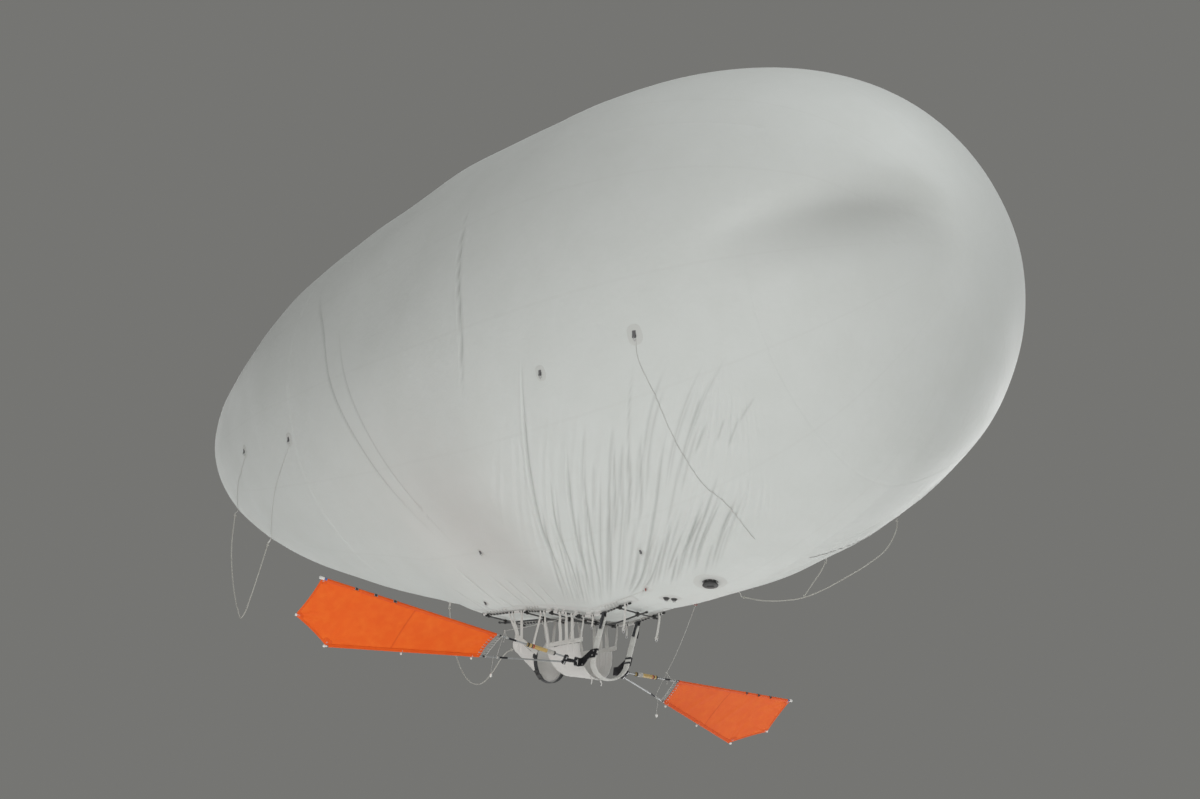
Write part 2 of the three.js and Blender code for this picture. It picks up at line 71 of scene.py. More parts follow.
# ------------------------------------------------------------------ the shape
class Shape:
    """Collects surfaces with UVs in metres, and makes one object of them."""

    def __init__(self):
        self.v, self.f, self.uv, self.m = [], [], [], []

    def grid(self, rings, uv=None, wrap=False, mat=0, flip=False):
        rings = np.asarray(rings, float)
        n, m = rings.shape[:2]
        if uv is None:
            closed = np.concatenate([rings, rings[:, :1]], 1) if wrap else rings
            across = np.concatenate([np.zeros((n, 1)), np.cumsum(np.linalg.norm(np.diff(closed, axis=1), axis=2), 1)], 1)
            middle = rings.mean(1)
            along = np.concatenate([[0], np.cumsum(np.linalg.norm(np.diff(middle, axis=0), axis=1))])
            uv = np.stack([np.broadcast_to(across.mean(0), (n, across.shape[1])), np.repeat(along[:, None], across.shape[1], 1)], -1)
        base = len(self.v)
        self.v += rings.reshape(-1, 3).tolist()
        for i in range(n - 1):
            for j in range(m if wrap else m - 1):
                k = (j + 1) % m
                c = [(i, j, j), (i, k, j + 1), (i + 1, k, j + 1), (i + 1, j, j)]
                if flip:
                    c = c[::-1]
                self.f.append([base + a * m + b for a, b, _ in c])
                self.uv.append([tuple(uv[a, t]) for a, _, t in c])
                self.m.append(mat)

    def cap(self, ring, mat=0, flip=False):
        base = len(self.v)
        ring = [list(p) for p in ring]
        self.v += ring
        f = list(range(base, base + len(ring)))
        self.f.append(f[::-1] if flip else f)
        c = np.mean(ring, 0)
        uv = [(float(p[0] - c[0]), float(p[1] - c[1])) for p in ring]
        self.uv.append(uv[::-1] if flip else uv)
        self.m.append(mat)

    def sweep(self, path, profile, side=None, mat=0, caps=True, scale=None, roll=0.0):
        """profile is a closed list of (across, out), swept along path."""
        P = np.asarray(path, float)
        T, B, N = frames(P, side)
        if roll:
            t = np.linspace(0, roll, len(P))[:, None]
            B, N = B * np.cos(t) + N * np.sin(t), -B * np.sin(t) + N * np.cos(t)
        s = np.ones(len(P)) if scale is None else np.asarray(scale, float)
        prof = np.asarray(profile, float)
        if s.ndim == 1:
            s = np.stack([s, s], 1)
        rings = P[:, None] + (prof[None, :, :1] * s[:, None, :1]) * B[:, None] + (prof[None, :, 1:] * s[:, None, 1:]) * N[:, None]
        self.grid(rings, wrap=True, mat=mat, flip=True)
        if caps:
            self.cap(rings[0], mat)
            self.cap(rings[-1], mat, flip=True)
        return rings

    def tube(self, path, r, sides=12, mat=0, caps=True, scale=None):
        prof = [(r * math.cos(2 * PI * i / sides), r * math.sin(2 * PI * i / sides)) for i in range(sides)]
        return self.sweep(path, prof, mat=mat, caps=caps, scale=scale)

    def lathe(self, base, axis, profile, sides=24, mat=0, side=None):
        """profile is (radius, height) along axis from base."""
        a = Vector(axis).normalized()
        x = Vector(side) if side is not None else a.orthogonal()
        x = (x - a * x.dot(a)).normalized()
        y = a.cross(x)
        o = Vector(base)
        rings = []
        for r, h in profile:
            rings.append([list(o + a * h + (x * math.cos(t) + y * math.sin(t)) * max(r, 1e-5)) for t in (2 * PI * k / sides for k in range(sides))])
        self.grid(rings, wrap=True, mat=mat)

    def ribbon(self, path, width, thick, side, mat=0, scale=None, corner=0.35, edges=4):
        w, t = width / 2, thick / 2
        c = min(w, t) * 0.9
        prof = []
        for i in range(edges + 1):
            u = -w + c + (2 * w - 2 * c) * i / edges
            prof.append((u, t))
        prof.append((w, 0.0))
        for i in range(edges + 1):
            u = w - c - (2 * w - 2 * c) * i / edges
            prof.append((u, -t))
        prof.append((-w, 0.0))
        return self.sweep(path, prof[::-1], side=side, mat=mat, scale=scale)

    def box(self, centre, size, axes=None, mat=0, bevel=0.15):
        """A small block with chamfered edges along one axis."""
        A = np.eye(3) if axes is None else np.asarray(axes, float)
        hx, hy, hz = np.asarray(size, float) / 2
        c = min(hx, hy, hz) * bevel * 2
        prof = [(hx - c, -hy), (hx, -hy + c), (hx, hy - c), (hx - c, hy), (-hx + c, hy), (-hx, hy - c), (-hx, -hy + c), (-hx + c, -hy)]
        rings = []
        for z, k in ((-hz, 1), (-hz + c, 0), (hz - c, 0), (hz, 1)):
            s = (hx - c * k) / hx, (hy - c * k) / hy
            rings.append([list(np.asarray(centre) + A[0] * u * s[0] + A[1] * v * s[1] + A[2] * z) for u, v in prof])
        self.grid(rings, wrap=True, mat=mat, flip=np.linalg.det(A) < 0)
        self.cap(rings[0], mat, flip=np.linalg.det(A) > 0)
        self.cap(rings[-1], mat, flip=np.linalg.det(A) < 0)

    def make(self, name, materials, slot, body="craft", smooth=True, angle=None):
        me = bpy.data.meshes.new(name)
        me.from_pydata(self.v, [], self.f)
        layer = me.uv_layers.new(name="UVMap")
        flat = [c for f in self.uv for p in f for c in p]
        layer.data.foreach_set("uv", flat)
        for m in materials if isinstance(materials, (list, tuple)) else [materials]:
            me.materials.append(m)
        me.polygons.foreach_set("material_index", self.m)
        me.polygons.foreach_set("use_smooth", [smooth] * len(me.polygons))
        me.update()
        o = bpy.data.objects.new(name, me)
        bpy.context.scene.collection.objects.link(o)
        if angle is not None:
            me.set_sharp_from_angle(angle=math.radians(angle))
        if body:
            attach(o, body)
        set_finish(o, slot)
        return o


def frames(P, side=None):
    P = np.asarray(P, float)
    T = np.gradient(P, axis=0)
    T /= np.maximum(np.linalg.norm(T, axis=1, keepdims=True), 1e-12)
    if side is not None:
        B = np.broadcast_to(np.asarray(side, float), P.shape).copy()
        B -= (B * T).sum(1, keepdims=True) * T
        B /= np.maximum(np.linalg.norm(B, axis=1, keepdims=True), 1e-12)
    else:
        B = np.zeros_like(P)
        b = np.cross(T[0], [0, 0, 1.0])
        if np.linalg.norm(b) < 0.2:
            b = np.cross(T[0], [0, 1.0, 0])
        for i, t in enumerate(T):
            b = b - b.dot(t) * t
            b = b / np.linalg.norm(b)
            B[i] = b
    return T, B, np.cross(T, B)


def catmull(points, count):
    """A centripetal curve through the points, in evenly spaced steps."""
    p = [np.asarray(q, float) for q in points]
    p = [2 * p[0] - p[1]] + p + [2 * p[-1] - p[-2]]
    out = []
    for i in range(1, len(p) - 2):
        a, b, c, d = p[i - 1 : i + 3]
        t0, t1 = 0, max(np.linalg.norm(b - a), 1e-9) ** 0.5
        t2 = t1 + max(np.linalg.norm(c - b), 1e-9) ** 0.5
        t3 = t2 + max(np.linalg.norm(d - c), 1e-9) ** 0.5
        for k in range(24):
            t = t1 + (t2 - t1) * k / 24
            A1 = (t1 - t) / (t1 - t0) * a + (t - t0) / (t1 - t0) * b
            A2 = (t2 - t) / (t2 - t1) * b + (t - t1) / (t2 - t1) * c
            A3 = (t3 - t) / (t3 - t2) * c + (t - t2) / (t3 - t2) * d
            B1 = (t2 - t) / (t2 - t0) * A1 + (t - t0) / (t2 - t0) * A2
            B2 = (t3 - t) / (t3 - t1) * A2 + (t - t1) / (t3 - t1) * A3
            out.append((t2 - t) / (t2 - t1) * B1 + (t - t1) / (t2 - t1) * B2)
    out.append(p[-2])
    out = np.array(out)
    s = np.concatenate([[0], np.cumsum(np.linalg.norm(np.diff(out, axis=0), axis=1))])
    at = np.linspace(0, s[-1], count)
    return np.stack([np.interp(at, s, out[:, k]) for k in range(out.shape[1])], -1)


def length_of(path):
    return float(np.linalg.norm(np.diff(np.asarray(path), axis=0), axis=1).sum())


# ------------------------------------------------------------------ materials
class Nodes:
    def __init__(self, name):
        self.mat = bpy.data.materials.new(name)
        self.mat.use_nodes = True
        self.t = self.mat.node_tree
        self.t.nodes.clear()
        self.out = self.t.nodes.new("ShaderNodeOutputMaterial")
        self.b = self.t.nodes.new("ShaderNodeBsdfPrincipled")
        self.t.links.new(self.b.outputs[0], self.out.inputs[0])
        self.c = self.t.nodes.new("ShaderNodeTexCoord")

    def node(self, kind, **sets):
        n = self.t.nodes.new(kind)
        for k, v in sets.items():
            setattr(n, k, v)
        return n

    def link(self, a, b):
        self.t.links.new(a, b)

    def mapping(self, source, scale=(1, 1, 1), rotation=(0, 0, 0)):
        m = self.node("ShaderNodeMapping")
        m.inputs["Scale"].default_value = scale
        m.inputs["Rotation"].default_value = rotation
        self.link(self.c.outputs[source], m.inputs[0])
        return m.outputs[0]

    def noise(self, vector, scale, detail=4, rough=0.55):
        n = self.node("ShaderNodeTexNoise")
        n.inputs["Scale"].default_value = scale
        n.inputs["Detail"].default_value = detail
        n.inputs["Roughness"].default_value = rough
        if vector is not None:
            self.link(vector, n.inputs["Vector"])
        return n.outputs["Fac"]

    def wave(self, vector, scale, axis="X", distortion=0.0, profile="SIN"):
        n = self.node("ShaderNodeTexWave", bands_direction=axis, wave_profile=profile)
        n.inputs["Scale"].default_value = scale
        n.inputs["Distortion"].default_value = distortion
        self.link(vector, n.inputs["Vector"])
        return n.outputs["Fac"]

    def math(self, op, a, b=None, c=None, clamp=False):
        n = self.node("ShaderNodeMath", operation=op, use_clamp=clamp)
        for i, v in enumerate((a, b, c)):
            if v is None:
                continue
            if isinstance(v, (int, float)):
                n.inputs[i].default_value = v
            else:
                self.link(v, n.inputs[i])
        return n.outputs[0]

    def ramp(self, fac, stops):
        n = self.node("ShaderNodeValToRGB")
        e = n.color_ramp.elements
        while len(e) < len(stops):
            e.new(0.5)
        for k, (at, col) in enumerate(stops):
            e[k].position = at
            e[k].color = (*col, 1) if len(col) == 3 else col
        self.link(fac, n.inputs[0])
        return n.outputs[0]

    def mix(self, fac, a, b, blend="MIX"):
        n = self.node("ShaderNodeMix", data_type="RGBA", blend_type=blend)
        for i, v in ((0, fac), (6, a), (7, b)):
            if isinstance(v, (int, float)):
                n.inputs[i].default_value = v
            elif isinstance(v, (tuple, list)):
                n.inputs[i].default_value = (*v, 1)
            else:
                self.link(v, n.inputs[i])
        return n.outputs[2]

    def bump(self, height, distance, strength=1.0, normal=None):
        n = self.node("ShaderNodeBump")
        n.inputs["Strength"].default_value = strength
        n.inputs["Distance"].default_value = distance
        self.link(height, n.inputs["Height"])
        if normal is not None:
            self.link(normal, n.inputs["Normal"])
        return n.outputs[0]

    def done(self, **fixed):
        for k, v in fixed.items():
            s = self.b.inputs[k.replace("_", " ").title().replace("Ior", "IOR")]
            s.default_value = (*v, 1) if isinstance(v, tuple) else v
        return self.mat


def uv_parts(n):
    s = n.node("ShaderNodeSeparateXYZ")
    n.link(n.c.outputs["UV"], s.inputs[0])
    return s.outputs[0], s.outputs[1]


def cloth(name, base, dark, thread=0.0012, rough=0.8, sheen=0.15, mottled=0.5, crinkle=0.004):
    """Plain-woven cloth: warp and weft, soft crinkle and uneven colour."""
    n = Nodes(name)
    u, v = uv_parts(n)
    warp = n.math("SINE", n.math("MULTIPLY", u, PI / thread))
    weft = n.math("SINE", n.math("MULTIPLY", v, PI / thread))
    weave = n.math("MULTIPLY", warp, weft)
    obj = n.mapping("Object")
    cloud = n.noise(obj, 9.0, 5)
    fine = n.noise(obj, 55.0, 4)
    colour = n.mix(n.math("MULTIPLY", cloud, mottled), base, dark)
    colour = n.mix(n.math("MULTIPLY", n.math("ADD", n.math("MULTIPLY", weave, 0.5), 0.5), 0.22), colour, tuple(c * 0.72 for c in base))
    n.link(colour, n.b.inputs["Base Color"])
    n.link(n.math("MULTIPLY_ADD", fine, 0.16, rough - 0.08), n.b.inputs["Roughness"])
    nor = n.bump(n.math("ADD", n.math("MULTIPLY", fine, 0.6), cloud), crinkle)
    nor = n.bump(weave, 0.00025, 0.7, nor)
    n.link(nor, n.b.inputs["Normal"])
    return n.done(sheen_weight=sheen, sheen_roughness=0.5, specular_ior_level=0.3)


def webbing(name, base, dark, rib=0.0024, rough=0.75):
    """Narrow woven strap: lengthwise cords crossed by fine picks."""
    n = Nodes(name)
    u, v = uv_parts(n)
    ribs = n.math("ABSOLUTE", n.math("SINE", n.math("MULTIPLY", u, PI / rib)))
    picks = n.math("SINE", n.math("ADD", n.math("MULTIPLY", v, 2 * PI / 0.0019), n.math("MULTIPLY", u, PI / rib)))
    obj = n.mapping("Object")
    worn = n.noise(obj, 16.0, 5)
    height = n.math("ADD", ribs, n.math("MULTIPLY", picks, 0.25))
    colour = n.mix(n.math("MULTIPLY", worn, 0.55), base, dark)
    # painted shade: darker between the ribs, where the surface is lowest
    colour = n.mix(n.math("MULTIPLY", n.math("SUBTRACT", 1.0, ribs), 0.35), colour, tuple(c * 0.5 for c in base))
    n.link(colour, n.b.inputs["Base Color"])
    n.link(n.math("MULTIPLY_ADD", worn, 0.2, rough - 0.1), n.b.inputs["Roughness"])
    nor = n.bump(worn, 0.002, 0.8)
    nor = n.bump(height, 0.0004, 0.8, nor)
    n.link(nor, n.b.inputs["Normal"])
    return n.done(sheen_weight=0.2, specular_ior_level=0.35)


def braid(name, base, dark, strand=0.0032, rough=0.8):
    n = Nodes(name)
    u, v = uv_parts(n)
    a = n.math("SINE", n.math("MULTIPLY", n.math("ADD", u, v), 2 * PI / strand))
    b = n.math("SINE", n.math("MULTIPLY", n.math("SUBTRACT", u, v), 2 * PI / strand))
    plait = n.math("MAXIMUM", a, b)
    obj = n.mapping("Object")
    grime = n.noise(obj, 22.0, 5)
    colour = n.mix(n.math("MULTIPLY", grime, 0.7), base, dark)
    # painted shade: darker between the strands, where the plait is lowest
    colour = n.mix(n.math("MULTIPLY", n.math("MULTIPLY_ADD", plait, -0.5, 0.5), 0.5), colour, tuple(c * 0.45 for c in base))
    n.link(colour, n.b.inputs["Base Color"])
    n.link(n.math("MULTIPLY_ADD", grime, 0.2, rough - 0.1), n.b.inputs["Roughness"])
    n.link(n.bump(n.math("ADD", plait, grime), 0.0006, 0.9), n.b.inputs["Normal"])
    return n.done(sheen_weight=0.25, specular_ior_level=0.3)


def metal(name, base, rough, metallic=1.0, worn=(0.5, 0.5, 0.52), scale=40.0, amount=0.12, coat=0.0):
    n = Nodes(name)
    obj = n.mapping("Object")
    broad, fine = n.noise(obj, scale, 5), n.noise(obj, scale * 9, 3)
    scratch = n.noise(n.mapping("Object", (3, 60, 60)), scale, 3)
    mask = n.ramp(n.math("MULTIPLY", broad, scratch), [(0.30, (0, 0, 0)), (0.52, (1, 1, 1))])
    n.link(n.mix(n.math("MULTIPLY", mask, amount), base, worn), n.b.inputs["Base Color"])
    n.link(n.math("MULTIPLY_ADD", broad, 0.22, rough - 0.11), n.b.inputs["Roughness"])
    n.link(n.bump(fine, 0.0002, 0.5), n.b.inputs["Normal"])
    return n.done(metallic=metallic, coat_weight=coat, coat_roughness=0.2)


def plastic(name, base, rough, grain=900.0, dust=(0.3, 0.3, 0.28)):
    n = Nodes(name)
    obj = n.mapping("Object")
    speck, film_ = n.noise(obj, grain, 2), n.noise(obj, 14.0, 5)
    n.link(n.mix(n.math("MULTIPLY", film_, 0.16), base, dust), n.b.inputs["Base Color"])
    n.link(n.math("MULTIPLY_ADD", film_, 0.25, rough - 0.12), n.b.inputs["Roughness"])
    n.link(n.bump(speck, 0.0001, 0.5), n.b.inputs["Normal"])
    return n.done(specular_ior_level=0.5)


def carbon(name):
    """Twill-woven carbon under a satin clear coat."""
    n = Nodes(name)
    obj = n.mapping("Object", (1, 1, 1), (0.4, 0.2, 0.785))
    a = n.wave(obj, 130.0, "X")
    b = n.wave(obj, 130.0, "Y")
    twill = n.math("GREATER_THAN", a, b)
    grime = n.noise(n.mapping("Object"), 20.0, 5)
    colour = n.mix(twill, (0.012, 0.012, 0.014), (0.045, 0.046, 0.05))
    n.link(n.mix(n.math("MULTIPLY", grime, 0.2), colour, (0.16, 0.15, 0.14)), n.b.inputs["Base Color"])
    n.link(n.math("MULTIPLY_ADD", grime, 0.2, 0.28), n.b.inputs["Roughness"])
    n.link(n.bump(twill, 0.00015, 0.4), n.b.inputs["Normal"])
    return n.done(coat_weight=0.6, coat_roughness=0.25)


def wood(name):
    """Pale yellow wood, grain along the grip, varnished."""
    n = Nodes(name)
    g = n.mapping("Object", (46, 3.2, 46))
    rings = n.noise(g, 3.0, 6, 0.6)
    fleck = n.noise(n.mapping("Object", (260, 14, 260)), 3.0, 3)
    colour = n.ramp(rings, [(0.25, (0.42, 0.25, 0.06)), (0.5, (0.66, 0.46, 0.15)), (0.75, (0.78, 0.60, 0.25))])
    colour = n.mix(n.math("MULTIPLY", fleck, 0.35), colour, (0.30, 0.17, 0.05))
    dirt = n.noise(n.mapping("Object"), 30.0, 5)
    n.link(n.mix(n.math("MULTIPLY", dirt, 0.25), colour, (0.20, 0.13, 0.05)), n.b.inputs["Base Color"])
    n.link(n.math("MULTIPLY_ADD", dirt, 0.25, 0.3), n.b.inputs["Roughness"])
    n.link(n.bump(fleck, 0.0003, 0.5), n.b.inputs["Normal"])
    return n.done(coat_weight=0.35, coat_roughness=0.3)


def film(name):
    """Coated film: off-white, satin, slightly uneven, with faint taped seams between the gores."""
    n = Nodes(name)
    u, v = uv_parts(n)
    obj = n.mapping("Object")
    cloud, patch = n.noise(obj, 0.9, 5), n.noise(obj, 3.4, 6)
    crinkle, grain = n.noise(obj, 17.0, 5, 0.5), n.noise(obj, 90.0, 3)
    gore = n.math("ABSOLUTE", n.math("SUBTRACT", n.math("FRACT", n.math("MULTIPLY_ADD", v, 14 / (2 * PI), 0.5)), 0.5))
    tape = n.math("LESS_THAN", gore, 0.013)
    colour = n.mix(n.math("MULTIPLY", cloud, 0.9), (0.80, 0.825, 0.812), (0.745, 0.772, 0.758))
    colour = n.mix(n.math("MULTIPLY", n.math("SUBTRACT", patch, 0.35, clamp=True), 0.7), colour, (0.70, 0.725, 0.695))
    colour = n.mix(n.math("MULTIPLY", tape, 0.10), colour, (0.66, 0.67, 0.65))
    # painted shade: the crease attribute darkens the film towards grey along the creases and in the hollow by the nose
    crease = n.node("ShaderNodeAttribute", attribute_name="crease").outputs["Fac"]
    colour = n.mix(n.math("MULTIPLY", crease, 0.62), colour, (0.42, 0.43, 0.415))
    n.link(colour, n.b.inputs["Base Color"])
    n.link(n.math("MULTIPLY_ADD", patch, 0.18, 0.42), n.b.inputs["Roughness"])
    nor = n.bump(n.math("ADD", crinkle, n.math("MULTIPLY", patch, 1.5)), 0.006, 0.55)
    nor = n.bump(n.math("ADD", n.math("MULTIPLY", grain, 0.6), n.math("MULTIPLY", tape, 0.35)), 0.0012, 0.35, nor)
    n.link(nor, n.b.inputs["Normal"])
    return n.done(specular_ior_level=0.35, sheen_weight=0.1)


def padding(name, base, dark):
    """Quilted nylon: cloth with a fine grid of ripstop cords."""
    n = Nodes(name)
    u, v = uv_parts(n)
    a = n.math("ABSOLUTE", n.math("SINE", n.math("MULTIPLY", u, PI / 0.006)))
    b = n.math("ABSOLUTE", n.math("SINE", n.math("MULTIPLY", v, PI / 0.006)))
    grid = n.math("LESS_THAN", n.math("MINIMUM", a, b), 0.16)
    obj = n.mapping("Object")
    cloud, fine = n.noise(obj, 12.0, 5), n.noise(obj, 110.0, 3)
    colour = n.mix(n.math("MULTIPLY", cloud, 0.6), base, dark)
    colour = n.mix(n.math("MULTIPLY", grid, 0.25), colour, tuple(c * 0.6 for c in base))
    n.link(colour, n.b.inputs["Base Color"])
    n.link(n.math("MULTIPLY_ADD", cloud, 0.2, 0.6), n.b.inputs["Roughness"])
    nor = n.bump(cloud, 0.004, 0.5)
    nor = n.bump(n.math("ADD", fine, grid), 0.0003, 0.6, nor)
    n.link(nor, n.b.inputs["Normal"])
    return n.done(sheen_weight=0.15, specular_ior_level=0.35)


def sailcloth(name, base, dark, light):
    """Ripstop cloth: a square grid of thicker threads in a fine weave, and painted light through it as brighter patches
    on the wrinkles.
    """
    n = Nodes(name)
    u, v = uv_parts(n)
    a = n.math("ABSOLUTE", n.math("SINE", n.math("MULTIPLY", u, PI / 0.008)))
    b = n.math("ABSOLUTE", n.math("SINE", n.math("MULTIPLY", v, PI / 0.008)))
    grid = n.math("LESS_THAN", n.math("MINIMUM", a, b), 0.13)
    obj = n.mapping("Object")
    cloud, crease, fine = n.noise(obj, 3.0, 4), n.noise(obj, 14.0, 2), n.noise(obj, 120.0, 1)
    colour = n.mix(n.math("MULTIPLY", cloud, 0.8), base, dark)
    # painted light: brighter orange in patches on the wrinkle noise, standing in for light through the cloth
    colour = n.mix(n.math("MULTIPLY", n.math("SUBTRACT", crease, 0.4, clamp=True), 0.9), colour, light)
    colour = n.mix(n.math("MULTIPLY", grid, 0.16), colour, dark)
    n.link(colour, n.b.inputs["Base Color"])
    n.link(n.math("MULTIPLY_ADD", crease, 0.2, 0.60), n.b.inputs["Roughness"])
    nor = n.bump(crease, 0.0025, 0.4)
    nor = n.bump(n.math("ADD", grid, fine), 0.0001, 0.3, nor)
    n.link(nor, n.b.inputs["Normal"])
    return n.done(sheen_weight=0.1, specular_ior_level=0.2)


FILM = film("film")
TAPE = cloth("seam_tape", (0.80, 0.81, 0.795), (0.70, 0.71, 0.69), 0.0016, 0.6, 0.1, 0.5, 0.002)
PATCH = cloth("patch_film", (0.76, 0.775, 0.755), (0.68, 0.69, 0.67), 0.0016, 0.55, 0.1, 0.6, 0.002)
SLING = cloth("sling_nylon", (0.80, 0.785, 0.77), (0.68, 0.655, 0.63), 0.0014, 0.78, 0.25, 0.5, 0.004)
HEM = cloth("hem_nylon", (0.78, 0.77, 0.755), (0.64, 0.62, 0.6), 0.0014, 0.75, 0.2, 0.6, 0.002)
WEB = webbing("white_webbing", (0.80, 0.79, 0.765), (0.62, 0.60, 0.57))
BLACK_WEB = webbing("black_webbing", (0.022, 0.024, 0.03), (0.055, 0.055, 0.06))
GREY_WEB = webbing("grey_webbing", (0.20, 0.20, 0.205), (0.13, 0.13, 0.135))
PALE_CORD = braid("pale_cord", (0.90, 0.90, 0.88), (0.80, 0.79, 0.77), 0.0016)
ROPE = braid("white_rope", (0.72, 0.71, 0.665), (0.50, 0.48, 0.43))
LACE = braid("lacing_cord", (0.78, 0.77, 0.74), (0.6, 0.58, 0.54), 0.0016)
RED_CORD = braid("red_cord", (0.55, 0.05, 0.035), (0.36, 0.03, 0.025), 0.002)
DARK = plastic("black_plastic", (0.028, 0.028, 0.03), 0.48)
WHITE = plastic("white_plastic", (0.80, 0.80, 0.78), 0.35, 500.0, (0.62, 0.6, 0.55))
BLUE = plastic("blue_plastic", (0.05, 0.16, 0.42), 0.4, 500.0, (0.2, 0.25, 0.35))
CARBON = carbon("carbon_weave")
METAL = metal("black_anodised", (0.035, 0.035, 0.04), 0.38, 0.85, (0.42, 0.42, 0.43), 45.0, 0.30)
STEEL = metal("steel", (0.60, 0.60, 0.61), 0.3, 1.0, (0.35, 0.34, 0.33), 60.0, 0.4)
SPAR = metal("grey_tube", (0.42, 0.43, 0.44), 0.36, 0.9, (0.2, 0.2, 0.2), 30.0, 0.35)
WOOD = wood("yellow_wood")
PAD = padding("padding_nylon", (0.66, 0.66, 0.635), (0.52, 0.52, 0.495))
SAIL_M = sailcloth("orange_ripstop", (0.96, 0.150, 0.010), (0.84, 0.095, 0.006), (1.0, 0.23, 0.03))
SAIL_HEM = sailcloth("orange_hem", (0.88, 0.115, 0.008), (0.70, 0.075, 0.005), (0.92, 0.17, 0.02))
STITCH = cloth("white_thread", (0.82, 0.81, 0.78), (0.66, 0.65, 0.62), 0.0008, 0.7)
RUBBER = plastic("black_rubber", (0.018, 0.018, 0.018), 0.75, 700.0, (0.12, 0.12, 0.115))
RED_TAPE = plastic("red_tape", (0.42, 0.035, 0.03), 0.45, 600.0, (0.3, 0.12, 0.1))

CAD_MATERIALS = {
    "filling_port": DARK, "pressure_port_front": DARK, "pressure_port_rear": DARK,
    "keel_tube_left": CARBON, "keel_tube_right": CARBON, "keel_tube_centre": CARBON,
    "shoulder_bracket": METAL, "wing_swivel": METAL, "wing_fork": METAL, "wing_knuckle": METAL,
    "keel_spreader": CARBON, "grip": WOOD, "tip_cap": WHITE, "lead_spar": SPAR, "trail_spar": SPAR,
}


# --------------------------------------------------------------------- camera
EYE = Vector((13.0538, -10.5396, -5.8307))
VIEW, RIGHT, UP = Vector((-0.5357, 0.7845, 0.3123)), Vector((0.8259, 0.5639, 0.0)), Vector((0.1761, -0.2579, 0.95))
AIM = (VIEW + RIGHT * ((314 - 600) / 1035) + UP * ((399.5 - 386) / 1035)).normalized()
cam_data = bpy.data.cameras.new("camera")
cam_data.sensor_width = 36.0
cam_data.lens = 66.5
cam_data.clip_start, cam_data.clip_end = 0.1, 2000.0
camera = bpy.data.objects.new("camera", cam_data)
bpy.context.scene.collection.objects.link(camera)
side_ = AIM.cross(UP).normalized()
top_ = side_.cross(AIM)
m = Matrix((side_, top_, -AIM)).transposed().to_4x4()
m.translation = EYE
camera.matrix_world = m
bpy.context.scene.camera = camera

# ---------------------------------------------------------------------- ropes
ROPES = {
    "tail_rope": (0.005, [(-4.362, -0.462, -0.700), (-4.382, -0.440, -1.011), (-4.287, -0.420, -1.392), (-4.165, -0.405, -1.640), (-4.112, -0.400, -1.706), (-4.066, -0.394, -1.660), (-4.030, -0.380, -1.530), (-3.990, -0.340, -1.233), (-3.981, -0.300, -1.000)]),
    "nose_line": (0.004, [(2.606, 0.885, -1.478), (2.596, 0.895, -1.556), (2.540, 0.862, -1.700), (2.420, 0.820, -1.800), (2.220, 0.765, -1.905), (2.050, 0.712, -1.985), (1.893, 0.650, -2.036), (1.661, 0.545, -2.046), (1.500, 0.452, -2.016)]),
    "nose_line_branch": (0.004, [(2.116, 0.690, -1.768), (2.040, 0.706, -1.850), (1.985, 0.700, -1.915), (1.930, 0.672, -2.014)]),
    "foot_line": (0.004, [(-1.494, -0.002, -1.826), (-1.447, -0.010, -1.960), (-1.370, -0.030, -2.100), (-1.260, -0.055, -2.270), (-1.150, -0.075, -2.395), (-1.030, -0.090, -2.495), (-0.910, -0.100, -2.548), (-0.794, -0.104, -2.548), (-0.682, -0.104, -2.470), (-0.598, -0.102, -2.378), (-0.530, -0.100, -2.330), (-0.462, -0.098, -2.316)]),
}
TIED = [np.array(ROPES[name][1][end]) for name, end in (("tail_rope", 0), ("tail_rope", -1), ("nose_line", 0), ("nose_line", -1), ("nose_line_branch", 0), ("foot_line", 0))]
PATHS = {}
for name, (r, points) in ROPES.items():
    rough_path = catmull(points, 60)
    long_ = length_of(rough_path)
    path = catmull(points, max(40, int(long_ / 0.012)))
    PATHS[name] = path
    s = Shape()
    s.tube(path, r, 10)
    rope = s.make(name + "_braid", ROPE, "rope")
    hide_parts(name)


# ------------------------------------------------------------------- envelope
ENV = dict(tail=-5.0, nose=4.0, wide=0.690, radius=1.841, nose_exp=2.951, tail_exp=1.674, flat=0.170, fall=0.970)
PULLS = [(0.331, 0.819, 2.851), (0.065, 0.550, 0.303), (0.069, -0.800, 0.344)]


def radius(x):
    x = np.asarray(x, float)
    u = np.where(x > ENV["wide"], (x - ENV["wide"]) / (ENV["nose"] - ENV["wide"]), (ENV["wide"] - x) / (ENV["wide"] - ENV["tail"]))
    e = np.where(x > ENV["wide"], ENV["nose_exp"], ENV["tail_exp"])
    return ENV["radius"] * np.sqrt(np.maximum(0, 1 - np.clip(u, 0, 1) ** e))


def skin(x, b):
    """The envelope's surface. b is the angle from the keel, + up the right side."""
    x, b = np.broadcast_arrays(np.asarray(x, float), np.asarray(b, float))
    r = radius(x)
    y = -r * np.sin(b)
    pull = sum(d * np.exp(-(((x - at) / l) ** 2)) for d, at, l in PULLS)
    side = np.exp(-np.maximum(ENV["flat"], np.abs(y)) / ENV["fall"])
    z = -r * np.cos(b) - pull * np.minimum(1, 1.5 * r / ENV["radius"]) * np.maximum(0, np.cos(b)) * side
    return np.stack([x, y, z], -1)


